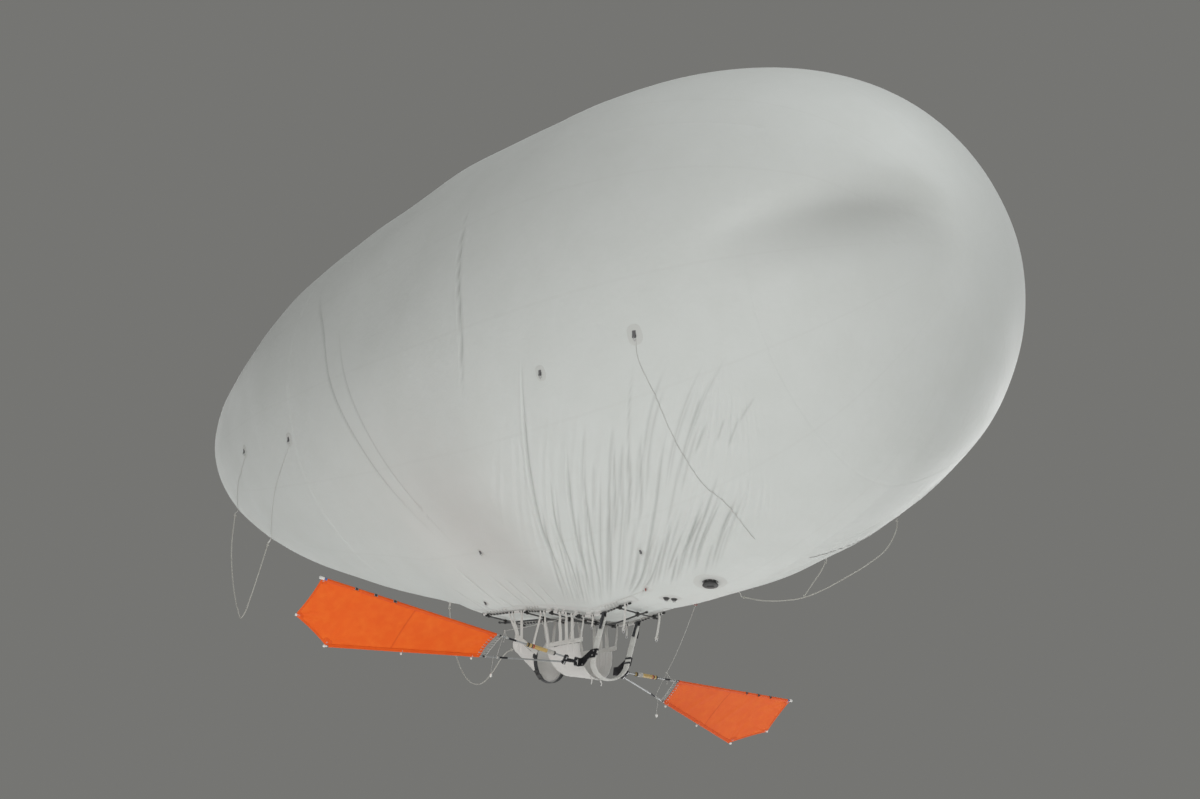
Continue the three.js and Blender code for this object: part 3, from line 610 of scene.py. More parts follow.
def skin_normal(x, b):
    e = 2e-3
    x, b = np.broadcast_arrays(np.asarray(x, float), np.asarray(b, float))
    xm = np.clip(x, ENV["tail"] + 2 * e, ENV["nose"] - 2 * e)
    n = np.cross(skin(xm + e, b) - skin(xm - e, b), skin(xm, b + e) - skin(xm, b - e))
    n /= np.maximum(np.linalg.norm(n, axis=-1, keepdims=True), 1e-12)
    n[x <= ENV["tail"] + 1e-6] = (-1, 0, 0)
    n[x >= ENV["nose"] - 1e-6] = (1, 0, 0)
    return n


def up_from_keel(a):
    b = (-PI / 2 - a) % (2 * PI)
    return b - 2 * PI if b > PI else b


def belly_z(x, y):
    return float(skin(x, math.asin(min(1, abs(y) / float(radius(x)))))[2])


ACROSS = 1.78  # metres of skin for one radian
# folds seen on the right side: points (station, angle), depth, half width, one-sided
FOLDS = [
    ([(0.575, 2.76), (0.603, 2.845), (0.644, 2.992), (0.674, 3.091), (0.74, -2.967), (0.726, -2.827), (0.672, -2.701), (0.64, -2.60)], 0.024, 0.030, 1),
    ([(-1.80, 2.68), (-1.676, 2.82), (-1.332, 3.119), (-1.149, -2.9), (-0.93, -2.655), (-0.737, -2.413), (-0.541, -2.203), (-0.42, -2.06)], 0.017, 0.024, 1),
    ([(-1.105, 3.072), (-0.919, -2.922), (-0.744, -2.692), (-0.57, -2.429), (-0.381, -2.16), (-0.29, -2.02)], 0.012, 0.021, -1),
    ([(1.388, -2.781), (1.303, -2.65), (1.166, -2.466), (0.988, -2.268), (0.813, -2.087), (0.655, -1.914), (0.436, -1.738), (0.37, -1.70)], 0.019, 0.021, 1),
    ([(1.219, -2.292), (0.986, -2.104), (0.777, -1.892), (0.532, -1.71)], 0.013, 0.018, 0),
    ([(1.533, -2.405), (1.326, -2.23), (1.057, -2.011), (0.774, -1.793), (0.629, -1.687)], 0.016, 0.019, 1),
    ([(1.562, -2.303), (1.283, -2.07), (0.905, -1.804), (0.668, -1.666)], 0.013, 0.018, 0),
    ([(1.847, -2.316), (1.533, -2.094), (0.998, -1.786), (0.741, -1.662)], 0.014, 0.019, -1),
    ([(1.964, -2.367), (1.571, -2.079), (1.30, -1.93)], 0.011, 0.018, 0),
    ([(1.994, -2.337), (1.602, -2.054)], 0.008, 0.015, 0),
    ([(2.107, -2.382), (1.735, -2.094), (1.45, -1.94)], 0.011, 0.018, 0),
    ([(2.349, -2.608), (1.731, -2.053)], 0.007, 0.016, 0),
    ([(2.183, -2.352), (1.829, -2.078), (1.60, -1.96)], 0.011, 0.018, 0),
    ([(2.652, -2.281), (2.445, -2.176)], 0.009, 0.016, 0),
    ([(2.784, -2.272), (2.628, -2.183)], 0.008, 0.015, 0),
    ([(2.867, -2.247), (2.673, -2.143)], 0.008, 0.015, 0),
    ([(3.023, -2.298), (2.828, -2.22)], 0.007, 0.015, 0),
    ([(1.765, -1.95), (1.247, -1.748), (0.95, -1.67)], 0.013, 0.018, 0),
    ([(1.825, -1.921), (1.395, -1.758), (1.05, -1.66)], 0.012, 0.017, 0),
    ([(1.99, -1.916), (1.507, -1.739)], 0.012, 0.017, 0),
    ([(2.238, -1.954), (1.73, -1.783)], 0.012, 0.018, 0),
    ([(2.414, -1.966), (1.792, -1.748)], 0.011, 0.018, 0),
    ([(2.432, -1.908), (2.162, -1.815)], 0.009, 0.016, 0),
]
# shallow dents and swells: station, angle, length, height, depth, lean
DENTS = [
    (-0.50, 3.05, 0.75, 0.55, 0.085, 0.0), (0.25, -2.75, 0.42, 0.55, 0.018, 0.0), (-0.80, 2.50, 0.55, 0.60, 0.030, 0.0),
    (1.72, 2.44, 0.9, 0.6, -0.012, 0.0), (-1.9, -2.75, 0.35, 0.35, 0.014, 0.0), (-3.3, 2.6, 0.9, 0.6, 0.02, 0.0),
]


def slope_field():
    rows = []
    for points, depth, width, kind in FOLDS[3:]:
        for (x0, a0), (x1, a1) in zip(points, points[1:]):
            b0, b1 = up_from_keel(a0), up_from_keel(a1)
            rows.append(((x0 + x1) / 2, (b0 + b1) / 2, (x0 - x1) / (b0 - b1)))
    return np.array(rows)


SLOPES = slope_field()


def fan_line(x, b, reach):
    """A tension line that starts near the keel and fans out up the side."""
    pts = [(x, b)]
    step = 0.035
    while b < reach:
        w = 1 / ((SLOPES[:, 0] - x) ** 2 + (ACROSS * (SLOPES[:, 1] - b)) ** 2 + 0.01)
        x += step * float((w * SLOPES[:, 2]).sum() / w.sum()) * min(1, max(0.15, (x + 0.45) / 0.9))
        b += step
        pts.append((x, b))
    return pts


def all_folds():
    """Every crease as (points in station and angle from the keel, depth, half width, kind, open at the keel)."""
    out = []
    for side in (1, -1):
        rng = random.Random(5 if side > 0 else 9)
        for points, depth, width, kind in FOLDS:
            dx = 0 if side > 0 else rng.uniform(-0.09, 0.09)
            db = 0 if side > 0 else rng.uniform(-0.05, 0.05)
            k = 1 if side > 0 else rng.uniform(0.6, 1.05)
            pts = [(x + dx, side * (up_from_keel(a) + db)) for x, a in points]
            broad = depth > 0.0165 and width > 0.0215 or points[0][0] < 0.0
            out.append((pts, depth * k * (0.62 if broad else 0.72), max(0.0092, width * (0.46 if broad else 0.56)), kind * side))
        x = 0.30
        while x < 1.95:
            start = 0.105 + rng.uniform(0, 0.03)
            reach = start + rng.uniform(0.12, 0.66) * (1.0 if x < 1.1 else 0.55)
            pts = fan_line(x, start, reach)
            out.append(([(p, side * q) for p, q in pts], rng.uniform(0.0035, 0.0085), rng.uniform(0.0090, 0.0118), rng.choice((0, 0, 1, -1))))
            x += rng.uniform(0.022, 0.050) * (1 if x < 1.0 else 1.6)
        for _ in range(16):  # upper tips of the fan, standing free of the keel
            pts = fan_line(rng.uniform(0.5, 1.3), 0.11, rng.uniform(0.62, 1.0))
            cut = int(len(pts) * rng.uniform(0.45, 0.62))
            out.append(([(p, side * q) for p, q in pts[cut:]], rng.uniform(0.003, 0.006), rng.uniform(0.0090, 0.0125), 0))
        for x in (-0.70, -0.62, -0.47, -0.36, -0.21, -0.10, 0.05, 0.16):  # short pulls over the rear straps
            lean = 0.25 * (x + 0.15)
            n = rng.uniform(0.10, 0.34)
            out.append(([(x, side * 0.10), (x + lean * 0.4, side * (0.10 + n / 2)), (x + lean, side * (0.10 + n))], rng.uniform(0.003, 0.007), rng.uniform(0.0095, 0.013), 0))
    for x, b, reach, lean in ((-2.9, 1.1, 0.5, 0.30), (-3.5, 0.9, 0.4, 0.2), (-2.3, -1.2, 0.6, -0.2), (1.1, 2.6, 0.5, 0.1), (2.6, -2.4, 0.5, 0.2), (-1.2, -2.3, 0.7, 0.15), (0.2, 3.0, 0.6, 0.05)):
        out.append(([(x, b - reach / 2), (x + lean / 2, b), (x + lean * 0.8, b + reach / 2)], 0.009, 0.050, 0))
    return out


def fold_tables():
    tables = []
    for pts, depth, width, kind in all_folds():
        p = catmull([(x, b * ACROSS) for x, b in pts], max(5, 3 * len(pts)))
        tables.append((p, depth, width, kind))
    return tables


TABLES = fold_tables()
WAVES = []
_r = random.Random(3)
for _ in range(22):
    k = 2 * PI / _r.uniform(0.5, 2.2)
    d = Vector((_r.gauss(0, 1), _r.gauss(0, 1), _r.gauss(0, 1))).normalized() * k
    WAVES.append((np.array(d), _r.uniform(0, 2 * PI), 0.0016 * math.sqrt(6 / k)))


def ease(t):
    t = np.clip(t, 0, 1)
    return t * t * (3 - 2 * t)


def pleat_lean(x, b):
    """The station gained for each radian up the side, along the pleats; the panel's mesh runs with them."""
    b = np.broadcast_to(b, x.shape)
    w = 1 / ((SLOPES[:, 0] - x[:, None]) ** 2 + (ACROSS * (SLOPES[:, 1] - b[:, None])) ** 2 + 0.01)
    s = (w * SLOPES[:, 2]).sum(1) / w.sum(1)
    return s * np.clip((x + 0.45) / 0.9, 0, 1) * ease((1.45 - b) / 0.5) * np.clip((3.2 - x) / 0.7, 0, 1)


def soft_ridges(x, h):
    """The soft ridges between the pleats, at stations x and angles h up from the keel; they run with the pleats."""
    u = x.copy()
    for i in range(8):
        u -= pleat_lean(u, h * (1 - (i + 0.5) / 8)) * h / 8
    at = np.linspace(-0.6, 3.2, 300)
    turns = np.cumsum((at[1] - at[0]) / (0.060 + 0.040 * np.clip((at - 0.2) / 1.2, 0, 1)))
    phase = 2 * PI * np.interp(u, at, turns)
    upper = 0.0050 * np.exp(-(((h - 0.70) / 0.15) ** 2)) * ease((x - 1.9) / 0.4) * ease((3.05 - x) / 0.3)
    lower = 0.0042 * np.exp(-(((h - 0.33) / 0.12) ** 2)) * ease((x - 1.2) / 0.5) * ease((2.85 - x) / 0.3)
    whole = 0.0018 * ease((h - 0.15) / 0.2) * ease((1.0 - h) / 0.3) * ease((x - 0.3) / 0.4) * ease((2.5 - x) / 0.5)
    size = (upper + lower + whole) * (0.70 + 0.30 * np.sin(0.61 * phase + 2.0 + 1.5 * h))
    return size * np.cos(phase + 0.7 * np.sin(0.37 * phase + 1.0))


def relief(x, b, fine=True, worn=False):
    """How far the skin stands out from the plain shape: creases, dents and slow waves. worn also gives the painted
    shade, 0 to 1, along the creases and in the hollow by the nose.
    """
    x, b = np.broadcast_arrays(np.asarray(x, float), np.asarray(b, float))
    shape = x.shape
    X, B = x.ravel(), b.ravel()
    Y = B * ACROSS
    P = skin(X, B)
    d = sum(a * np.sin(P @ k + f) for k, f, a in WAVES)
    for at, ang, sx, sy, depth, lean in DENTS:
        for side, k in ((1, 1.0), (-1, 0.45)):
            c = side * up_from_keel(ang)
            du = X - at
            dv = (B - c + PI) % (2 * PI) - PI
            dv = dv * np.minimum(ACROSS, radius(X))
            u, v = du * math.cos(lean * side) + dv * math.sin(lean * side), -du * math.sin(lean * side) + dv * math.cos(lean * side)
            d -= k * depth * np.exp(-((u / sx) ** 2) - (v / sy) ** 2)
    painted_shade = np.zeros_like(X)
    # a slack hollow round the right of the nose: a sharp upper lip over a long lower slope
    for side, k in ((1, 1.0),):
        y = -side * P[:, 1]
        t = P[:, 2] - (0.19 - np.where(y < 0.56, 0.85, 0.45) * (y - 0.56) ** 2)
        window = np.exp(-(((y - 0.76) / 0.54) ** 2)) * np.clip((P[:, 0] - 2.55) / 0.6, 0, 1) ** 2 * ease(y / 0.36)
        hollow = window * np.where(t < 0, np.exp(-((t / 0.33) ** 2)), np.exp(-((t / 0.12) ** 2)))
        d -= k * 0.106 * hollow
        # painted shade over the hollow, darkest just under its upper lip
        painted_shade = np.maximum(painted_shade, k * 0.95 * window * np.where(t < -0.09, np.exp(-(((t + 0.09) / 0.31) ** 2)), np.exp(-(((t + 0.09) / 0.14) ** 2))))
    for p, depth, width, kind in TABLES:
        lo, hi = p.min(0) - 5 * width, p.max(0) + 5 * width
        near = np.flatnonzero((X > lo[0]) & (X < hi[0]) & (Y > lo[1]) & (Y < hi[1]))
        if not len(near):
            continue
        q = np.stack([X[near], Y[near]], 1)
        best = np.full(len(near), 1e9)
        along = np.zeros(len(near))
        sign = np.zeros(len(near))
        step = np.linalg.norm(np.diff(p, axis=0), axis=1)
        total = step.sum()
        done = 0.0
        for (a, c), n in zip(zip(p, p[1:]), step):
            t = np.clip(((q - a) @ (c - a)) / max(n * n, 1e-12), 0, 1)
            off = q - a - t[:, None] * (c - a)
            dist = np.linalg.norm(off, axis=1)
            better = dist < best
            best = np.where(better, dist, best)
            along = np.where(better, (done + t * n) / total, along)
            sign = np.where(better, np.sign(off[:, 0] * (c - a)[1] - off[:, 1] * (c - a)[0]), sign)
            done += n
        fade = np.clip(along / 0.30, 0, 1) * np.clip((1 - along) / 0.30, 0, 1)
        fade = fade * fade * (3 - 2 * fade)
        w = width * (0.75 + 0.5 * fade)
        t = best * sign
        if kind == 0:
            form = -np.exp(-((t / w) ** 2)) + 0.26 * np.exp(-(((np.abs(t) - 1.7 * w) / w) ** 2))
        else:
            form = -np.exp(-((t / (0.8 * w)) ** 2)) + 0.34 * np.exp(-(((t * kind - 1.5 * w) / (1.1 * w)) ** 2)) + 0.08 * np.exp(-(((t * kind + 2 * w) / (1.5 * w)) ** 2))
        if not fine:
            form *= np.clip(width * 40, 0, 1)
        d[near] += depth * fade * form
        # painted shade along the valley of each crease
        painted_shade[near] = np.maximum(painted_shade[near], (width < 0.04) * min(1.0, depth / 0.0095) * fade * np.exp(-((t / np.maximum(0.66 * w, 0.0072)) ** 2)))
    h = np.abs(B)
    near = np.flatnonzero((X > 0.3) & (X < 3.05) & (h > 0.06) & (h < 1.2))
    if len(near):
        d[near] += soft_ridges(X[near], h[near])
    # where a rope is tied the skin stands full
    for q in TIED:
        d = d * (1 - np.exp(-((P - q) ** 2).sum(1) / 0.16 ** 2))
    # close to the keel tubes the skin is held by its lacing
    y = np.abs(P[:, 1])
    held = np.clip((y - 0.115) / 0.14, 0, 1) * (np.cos(B) > 0) + (np.cos(B) <= 0)
    inside = (X > -1.0) & (X < 1.15)
    edge = np.clip(np.minimum(X + 1.0, 1.15 - X) / 0.15, 0, 1)
    d = np.where(inside, d * (1 - edge * (1 - (0.12 + 0.88 * held))), d)
    d = np.clip(d, -0.12, 0.03).reshape(shape)
    return (d, painted_shade.reshape(shape)) if worn else d


def skin_point(x, y, lift=0.0):
    """A point on the belly at (x, y), lifted off the film, and the normal there."""
    b = -math.asin(max(-1, min(1, y / float(radius(x)))))
    n = skin_normal(x, b)
    return skin(x, b) + n * (float(relief(x, b)) + lift), n


def spaced(lo, hi, step):
    """Values from lo to hi; step gives the spacing wanted at a value."""
    out, v = [lo], lo
    while v < hi:
        v += step(v)
        out.append(v)
    out = np.array(out)
    return lo + (out - lo) * (hi - lo) / (out[-1] - lo)


PANEL = dict(x0=-1.95, x1=3.20, top=2.06)


def store_painted_shade(o, values):
    """Keeps the painted shade of the creases and the nose hollow, for the film's material to darken its colour by."""
    a = o.data.attributes.new("crease", "FLOAT", "POINT")
    a.data.foreach_set("value", np.asarray(values, np.float32))


def envelope_body():
    """The whole skin at a moderate spacing; it dips under the two finer panels."""
    t = np.linspace(0, PI, 190)
    x = -0.5 - 4.5 * np.cos(t)
    b = np.linspace(-PI, PI, 153)
    X, Bg = np.meshgrid(x, b, indexing="ij")
    d, painted_shade = relief(X, Bg, fine=False, worn=True)
    inset = np.minimum(np.minimum(X - PANEL["x0"], PANEL["x1"] - X), (PANEL["top"] - np.abs(Bg)) * ACROSS)
    d = d - 0.045 * ease((inset - 0.03) / 0.10)
    fade = np.clip(radius(X) / 0.35, 0, 1)
    P = skin(X, Bg) + skin_normal(X, Bg) * (d * fade)[..., None]
    s = Shape()
    rings = P[1:-1, :-1]
    uv = np.stack([X, Bg], -1)[1:-1]
    s.grid(rings, uv=uv, wrap=True, flip=True)
    n, m = rings.shape[:2]
    for row, tip, flip in ((0, P[0, 0], False), (n - 1, P[-1, 0], True)):
        k = len(s.v)
        s.v.append(list(tip))
        for j in range(m):
            a, c = row * m + j, row * m + (j + 1) % m
            s.f.append([k, c, a] if flip else [k, a, c])
            s.uv.append([(float(tip[0]), float(b[j]))] * 3)
            s.m.append(0)
    o = s.make("envelope_skin", FILM, "film")
    store_painted_shade(o, np.concatenate([painted_shade[1:-1, :-1].ravel(), [0, 0]]))
    return o


def envelope_panel(side, word):
    """One side of the belly and flank, fine enough for its creases. Its edges lap over the rest as a taped seam."""
    x = spaced(PANEL["x0"], PANEL["x1"], lambda v: 0.020 if v < -1.5 else 0.0105 if v < -0.45 else 0.0048 if v < 0.35 else 0.0085 if v < 1.2 else 0.011 if v < 2.0 else 0.020)
    b = spaced(0.0, PANEL["top"], lambda v: 0.0100 if v < 1.05 else 0.0165)
    rows = [x]
    for b0, b1 in zip(b, b[1:]):
        step = b1 - b0
        half = rows[-1] + pleat_lean(rows[-1], b0) * step / 2
        rows.append(rows[-1] + pleat_lean(half, (b0 + b1) / 2) * step)
    X = np.array(rows).T
    Bg = np.broadcast_to(b * side, X.shape)
    d, painted_shade = relief(X, Bg, worn=True)
    edge = np.minimum(np.minimum(X - PANEL["x0"], PANEL["x1"] - X), (PANEL["top"] - np.abs(Bg)) * ACROSS)
    d = d + 0.0012 - 0.003 * (edge < 1e-9)
    P = skin(X, Bg) + skin_normal(X, Bg) * d[..., None]
    s = Shape()
    s.grid(P, uv=np.stack([X, Bg], -1), flip=side < 0)
    o = s.make("envelope_panel_" + word, FILM, "film")
    store_painted_shade(o, painted_shade.ravel())
    return o


body = envelope_body()
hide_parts("envelope")
for side, word in ((1, "right"), (-1, "left")):
    envelope_panel(side, word)


# ------------------------------------------------------------------ small parts
def knot(s, centre, size, axis=(0, 0, 1), mat=0):
    """A tied knot: a small closed trefoil of rope."""
    a = Vector(axis).normalized()
    x = a.orthogonal().normalized()
    y = a.cross(x)
    pts = []
    for k in range(49):
        t = 2 * PI * k / 48
        p = Vector((math.sin(t) + 2 * math.sin(2 * t), math.cos(t) - 2 * math.cos(2 * t), -1.3 * math.sin(3 * t)))
        pts.append(list(Vector(centre) + (x * p.x + y * p.y + a * p.z) * (size / 3.0)))
    s.tube(pts, size * 0.42, 7, mat=mat)


def stitches(s, path, normal, mat=0, pitch=0.0065, long_=0.0042, r=0.0007):
    path = np.asarray(path, float)
    total = length_of(path)
    step = np.concatenate([[0], np.cumsum(np.linalg.norm(np.diff(path, axis=0), axis=1))])
    n = np.asarray(normal, float)
    for k in range(int(total / pitch)):
        a, b = k * pitch, k * pitch + long_
        if b > total:
            break
        p = [np.array([np.interp(v, step, path[:, c]) for c in range(3)]) + n * r * (0.4 if i != 1 else 1.3) for i, v in enumerate((a, (a + b) / 2, b))]
        s.tube(p, r, 5, mat=mat)


def ring(s, centre, axis, big, small, mat=0, sides=20, around=8):
    a = Vector(axis).normalized()
    x = a.orthogonal().normalized()
    y = a.cross(x)
    rings = []
    for k in range(sides):
        t = 2 * PI * k / sides
        d = x * math.cos(t) + y * math.sin(t)
        rings.append([list(Vector(centre) + d * (big + small * math.cos(f)) + a * small * math.sin(f)) for f in (2 * PI * j / around for j in range(around))])
    rings.append(rings[0])
    s.grid(rings, wrap=True, mat=mat)


def bolt(s, place, axis, r=0.0045, h=0.003, mat=0):
    """A hex head on its washer."""
    a = Vector(axis).normalized()
    s.lathe(place, a, [(0, 0), (r * 1.45, 0), (r * 1.45, 0.0006), (r * 1.3, 0.0009), (0, 0.0009)], 18, mat)
    s.lathe(place, a, [(r, 0.0009), (r, h * 0.8), (r * 0.86, h), (0, h)], 6, mat)


def buckle(s, centre, across, along, w, h, mat=0, t=0.0045):
    """Three-bar slide buckle: across is along its bars, along is the strap's run."""
    X, Y = Vector(across).normalized(), Vector(along).normalized()
    Z = X.cross(Y)
    c = Vector(centre)
    for k in (-1, 0, 1):
        s.box(list(c + Y * k * (h / 2 - t / 2)), (w, t if k else t * 0.8, t), [list(X), list(Y), list(Z)], mat)
    for k in (-1, 1):
        s.box(list(c + X * k * (w / 2 - t / 2)), (t, h, t * 1.05), [list(X), list(Y), list(Z)], mat)


def disc_on_skin(s, x, b, half_u, half_v, lift, mat=0, square=2.0, rings=7, sides=36):
    """A thin patch that follows the film, creases included."""
    grid = []
    for i in range(rings):
        k = (i + 1e-3) / (rings - 1)
        row = []
        for j in range(sides):
            t = 2 * PI * j / sides
            c, n = math.cos(t), math.sin(t)
            f = (abs(c) ** square + abs(n) ** square) ** (-1 / square)
            row.append((x + half_u * k * c * f, b + half_v * k * n * f / float(radius(x))))
        grid.append(row)
    G = np.array(grid)
    X, B = G[..., 0], G[..., 1]
    d = relief(X, B) + lift
    d[-1] -= lift * 0.75
    P = skin(X, B) + skin_normal(X, B) * d[..., None]
    uv = np.stack([X, B * ACROSS], -1)
    s.grid(P, uv=np.concatenate([uv, uv[:, :1]], 1), wrap=True, mat=mat)


def on_skin(x, b, lift=0.0):
    n = skin_normal(x, b)
    return skin(x, b) + n * (float(relief(x, b)) + lift), n


def b_at(point):
    return math.atan2(-point[1], -point[2])


# ---------------------------------------------------------------------- keel
KEEL_Y, KEEL_R = 0.170, 0.007
SPREADERS = [-0.720, -0.230, 0.080, 0.400, 0.870]


def keel_z(x):
    return belly_z(x, KEEL_Y) - 0.020


def spread_z(x):
    return keel_z(x) - KEEL_R - 0.006 - 0.001


TOPS = [-0.453, -0.413, -0.300, -0.060, -0.018, 0.172, 0.250, 0.318, 0.456]
STOPS = sorted([(x, 0.016) for x in SPREADERS] + [(x, 0.020) for x in TOPS] + [(0.692, 0.034), (0.567, 0.016), (0.930, 0.020)])
for side, word in ((1, "left"), (-1, "right")):
    y0 = side * KEEL_Y
    # tape on the film, over the tube
    s = Shape()
    xs = np.linspace(-0.87, 1.05, 190)
    rows = []
    for x in xs:
        end = min(1, min(x + 0.87, 1.05 - x) / 0.03)
        half = 0.040 * math.sqrt(max(0.0, 1 - (1 - end) ** 2)) + 0.004
        rows.append([(x, y0 + half * k / 4) for k in range(-4, 5)])
    G = np.array(rows)
    B = -np.arcsin(np.clip(G[..., 1] / radius(G[..., 0]), -1, 1))
    d = relief(G[..., 0], B) + 0.0045
    d[:, 0] -= 0.002
    d[:, -1] -= 0.002
    P = skin(G[..., 0], B) + skin_normal(G[..., 0], B) * d[..., None]
    s.grid(P, uv=G, flip=side > 0)
    s.make("hem_tape_" + word, TAPE, "film")

    # sleeves that carry the tube, hung from the tape, and lacing between them
    hem, lace, eyes = Shape(), Shape(), Shape()
    gaps, last = [], -0.79
    for x, half in STOPS:
        if x - half - last > 0.03:
            gaps.append((last, x - half))
        last = x + half
    gaps.append((last, 0.965))
    turn = []
    for k, (a, c) in enumerate(gaps):
        if c - a < 0.11 or k % 3 == 0:
            n = max(6, int((c - a) / 0.008))
            path = [(x, y0, keel_z(x)) for x in np.linspace(a + 0.004, c - 0.004, n)]
            wob = [1 + 0.07 * math.sin(37 * x[0] + side) + 0.05 * math.sin(91 * x[0]) for x in path]
            hem.tube(path, 0.0098, 14, scale=wob)
            for k2 in (-1, 1):
                ring(hem, path[0 if k2 < 0 else -1], (1, 0, 0.1), 0.0098, 0.0013, sides=16, around=6)
            top = []
            for i, (x, y, z) in enumerate(path):
                p, _ = skin_point(x, y, 0.003)
                top.append([(x, y + 0.0008 * math.sin(60 * x), z + 0.006), (x, y + 0.0015 * math.sin(45 * x), (z + p[2]) / 2), (x, y, p[2])])
            top = np.array(top)
            hem.grid(top + [0, 0.0009, 0], flip=False)
            hem.grid(top - [0, 0.0009, 0], flip=True)
        else:
            turn.append((a, c))
    hem.make("keel_sleeves_" + word, HEM, "sling_cloth")
    for a, c in turn:
        n = max(2, round((c - a) / 0.036))
        pitch = (c - a) / n
        pts = []
        for k in range(n):
            x = a + k * pitch
            out, _ = skin_point(x, y0 + 0.027 * side, 0.0065)
            inn, _ = skin_point(x + pitch / 2, y0 - 0.027 * side, 0.0065)
            z0, z1 = keel_z(x + pitch / 4), keel_z(x + 3 * pitch / 4)
            pts += [tuple(out), (x + pitch * 0.18, y0 + side * 0.0105, z0 - 0.001), (x + pitch / 4, y0, z0 - 0.0092), (x + pitch * 0.32, y0 - side * 0.0105, z0 - 0.001), tuple(inn),
                    (x + 3 * pitch / 4, y0, z1 + 0.0112)]
            for q in (out, inn):
                ring(eyes, q - np.array([0, 0, -0.0015]), (0, 0, 1), 0.0042, 0.0011, sides=12, around=5)
        end, _ = skin_point(c, y0 + 0.027 * side, 0.0065)
        pts.append(tuple(end))
        lace.tube(catmull(pts, 9 * len(pts)), 0.0017, 6)
        knot(lace, end, 0.004, (0, 0, 1))
        knot(lace, pts[0], 0.004, (0, 0, 1))
    lace.make("keel_lacing_" + word, LACE, "rope")
    eyes.make("keel_eyelets_" + word, STEEL, "black_metal")

    # cross clamps, end caps
    s = Shape()
    for x in SPREADERS:
        z = keel_z(x)
        s.box((x, y0, z - 0.0066), (0.026, 0.024, 0.032), None, 0, 0.2)
        s.lathe((x, y0 + side * 0.012, z - 0.0015), (0, side, 0), [(0.0001, 0.0), (0.0042, 0.0), (0.0042, 0.0022), (0.003, 0.0032), (0.0001, 0.0032)], 12)
        zs = spread_z(x)
        s.lathe((x, side * 0.188, zs), (0, side, 0), [(0.0062, 0), (0.0076, 0), (0.0076, 0.0125), (0.0060, 0.0150), (0.0001, 0.0152)], 16)
    for x, d in ((-0.80, -1), (0.98, 1)):
        t = np.array([1, 0, (keel_z(x + 0.01) - keel_z(x - 0.01)) / 0.02])
        t /= np.linalg.norm(t)
        s.lathe((x - d * 0.014 * t[0], y0, keel_z(x) - d * 0.014 * t[2]), t * d, [(0.0072, 0), (0.0086, 0), (0.0086, 0.015), (0.0065, 0.0185), (0.0001, 0.019)], 16)
    s.make("keel_clamps_" + word, RUBBER, "black_metal", angle=40)

s = Shape()
for x in SPREADERS:
    zs = spread_z(x)
    s.box((x, 0, zs - 0.0085), (0.024, 0.026, 0.034), None, 0, 0.2)
    for k in (-1, 1):
        bolt(s, (x, k * 0.013, zs - 0.0082), (0, k, 0), 0.0030, 0.0026, 1)
for x, d in ((-0.80, -1), (0.98, 1)):
    z = spread_z(x) - 0.006 - 0.007 - 0.004
    t = np.array([1, 0, (keel_z(x + 0.01) - keel_z(x - 0.01)) / 0.02])
    t /= np.linalg.norm(t)
    s.lathe((x - d * 0.014 * t[0], 0, z - d * 0.014 * t[2]), t * d, [(0.0072, 0), (0.0086, 0), (0.0086, 0.015), (0.0065, 0.0185), (0.0001, 0.019)], 16)
s.make("keel_saddles", [RUBBER, STEEL], "black_metal", angle=40)


# ---------------------------------------------------------------------- hoop
def hoop_x(z):
    return 0.600 + 0.27 * (z + 2.520)


HOOP_TOP = keel_z(hoop_x(-2.180)) - KEEL_R - 0.020
hoop_path = [(hoop_x(z), 0.165, z) for z in np.linspace(HOOP_TOP, -2.495, 5)]
for i in range(1, 14):
    a = PI * i / 14
    z = -2.495 - 0.137 * math.sin(a)
    hoop_path.append((hoop_x(z), 0.165 * math.cos(a), z))
hoop_path += [(hoop_x(z), -0.165, z) for z in np.linspace(-2.495, HOOP_TOP, 5)]
hp = catmull(hoop_path, 260)
T, B, N = frames(hp, (1, 0, 0.0))
arc = np.concatenate([[0], np.cumsum(np.linalg.norm(np.diff(hp, axis=0), axis=1))])
cells = 13
phase = arc / arc[-1] * cells
seam = np.exp(-((np.abs(phase - np.round(phase)) / 0.075) ** 2))
seam[arc < 0.012] = 1
seam[arc > arc[-1] - 0.012] = 1
rings = []
M = 34
for i in range(len(hp)):
    row = []
    w = 0.0292 - 0.0022 * seam[i] + 0.0006 * math.sin(phase[i] * 5.1)
    for j in range(M):
        t = 2 * PI * j / M
        u = math.copysign(abs(math.cos(t)) ** 0.72, math.cos(t))
        v = math.sin(t)
        crown = 1 + 0.10 * math.cos(PI * u)
        puff = 0.0080 * (1 - 0.46 * seam[i]) * crown + 0.0004 * math.sin(17 * u + 3.7 * phase[i])
        mid = 1 - 0.34 * math.exp(-((u / 0.09) ** 2))  # a seam along the middle
        row.append(hp[i] + B[i] * u * w + N[i] * math.copysign(abs(v) ** 0.8, v) * puff * mid)
    rings.append(row)
s = Shape()
s.grid(rings, wrap=True, flip=True)
s.cap(rings[0])
s.cap(rings[-1], flip=True)
hoop = s.make("hoop_padding", PAD, "padding")
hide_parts("shoulder_hoop")
s = Shape()
for k in (-1, 1):
    s.tube(hp + B * (k * (0.0290 - 0.0022 * seam))[:, None], 0.0021, 8)
s.make("hoop_piping", HEM, "padding")
s = Shape()
for c in range(1, cells):
    i = int(np.argmin(abs(phase - c)))
    for k in (-1, 1):
        line = [hp[i] + B[i] * u * 0.026 + N[i] * k * 0.0047 * (1 - abs(u) ** 4 * 0.5) for u in np.linspace(-1, 1, 15)]
        stitches(s, line, N[i] * k, 0, 0.0055, 0.0036, 0.00055)
for k in (-1, 1):
    line = hp + N * k * 0.0056 * (1 - 0.36 * seam)[:, None]
    stitches(s, line[4:-4], (0, 0, 0), 0, 0.0062, 0.0040, 0.00055)
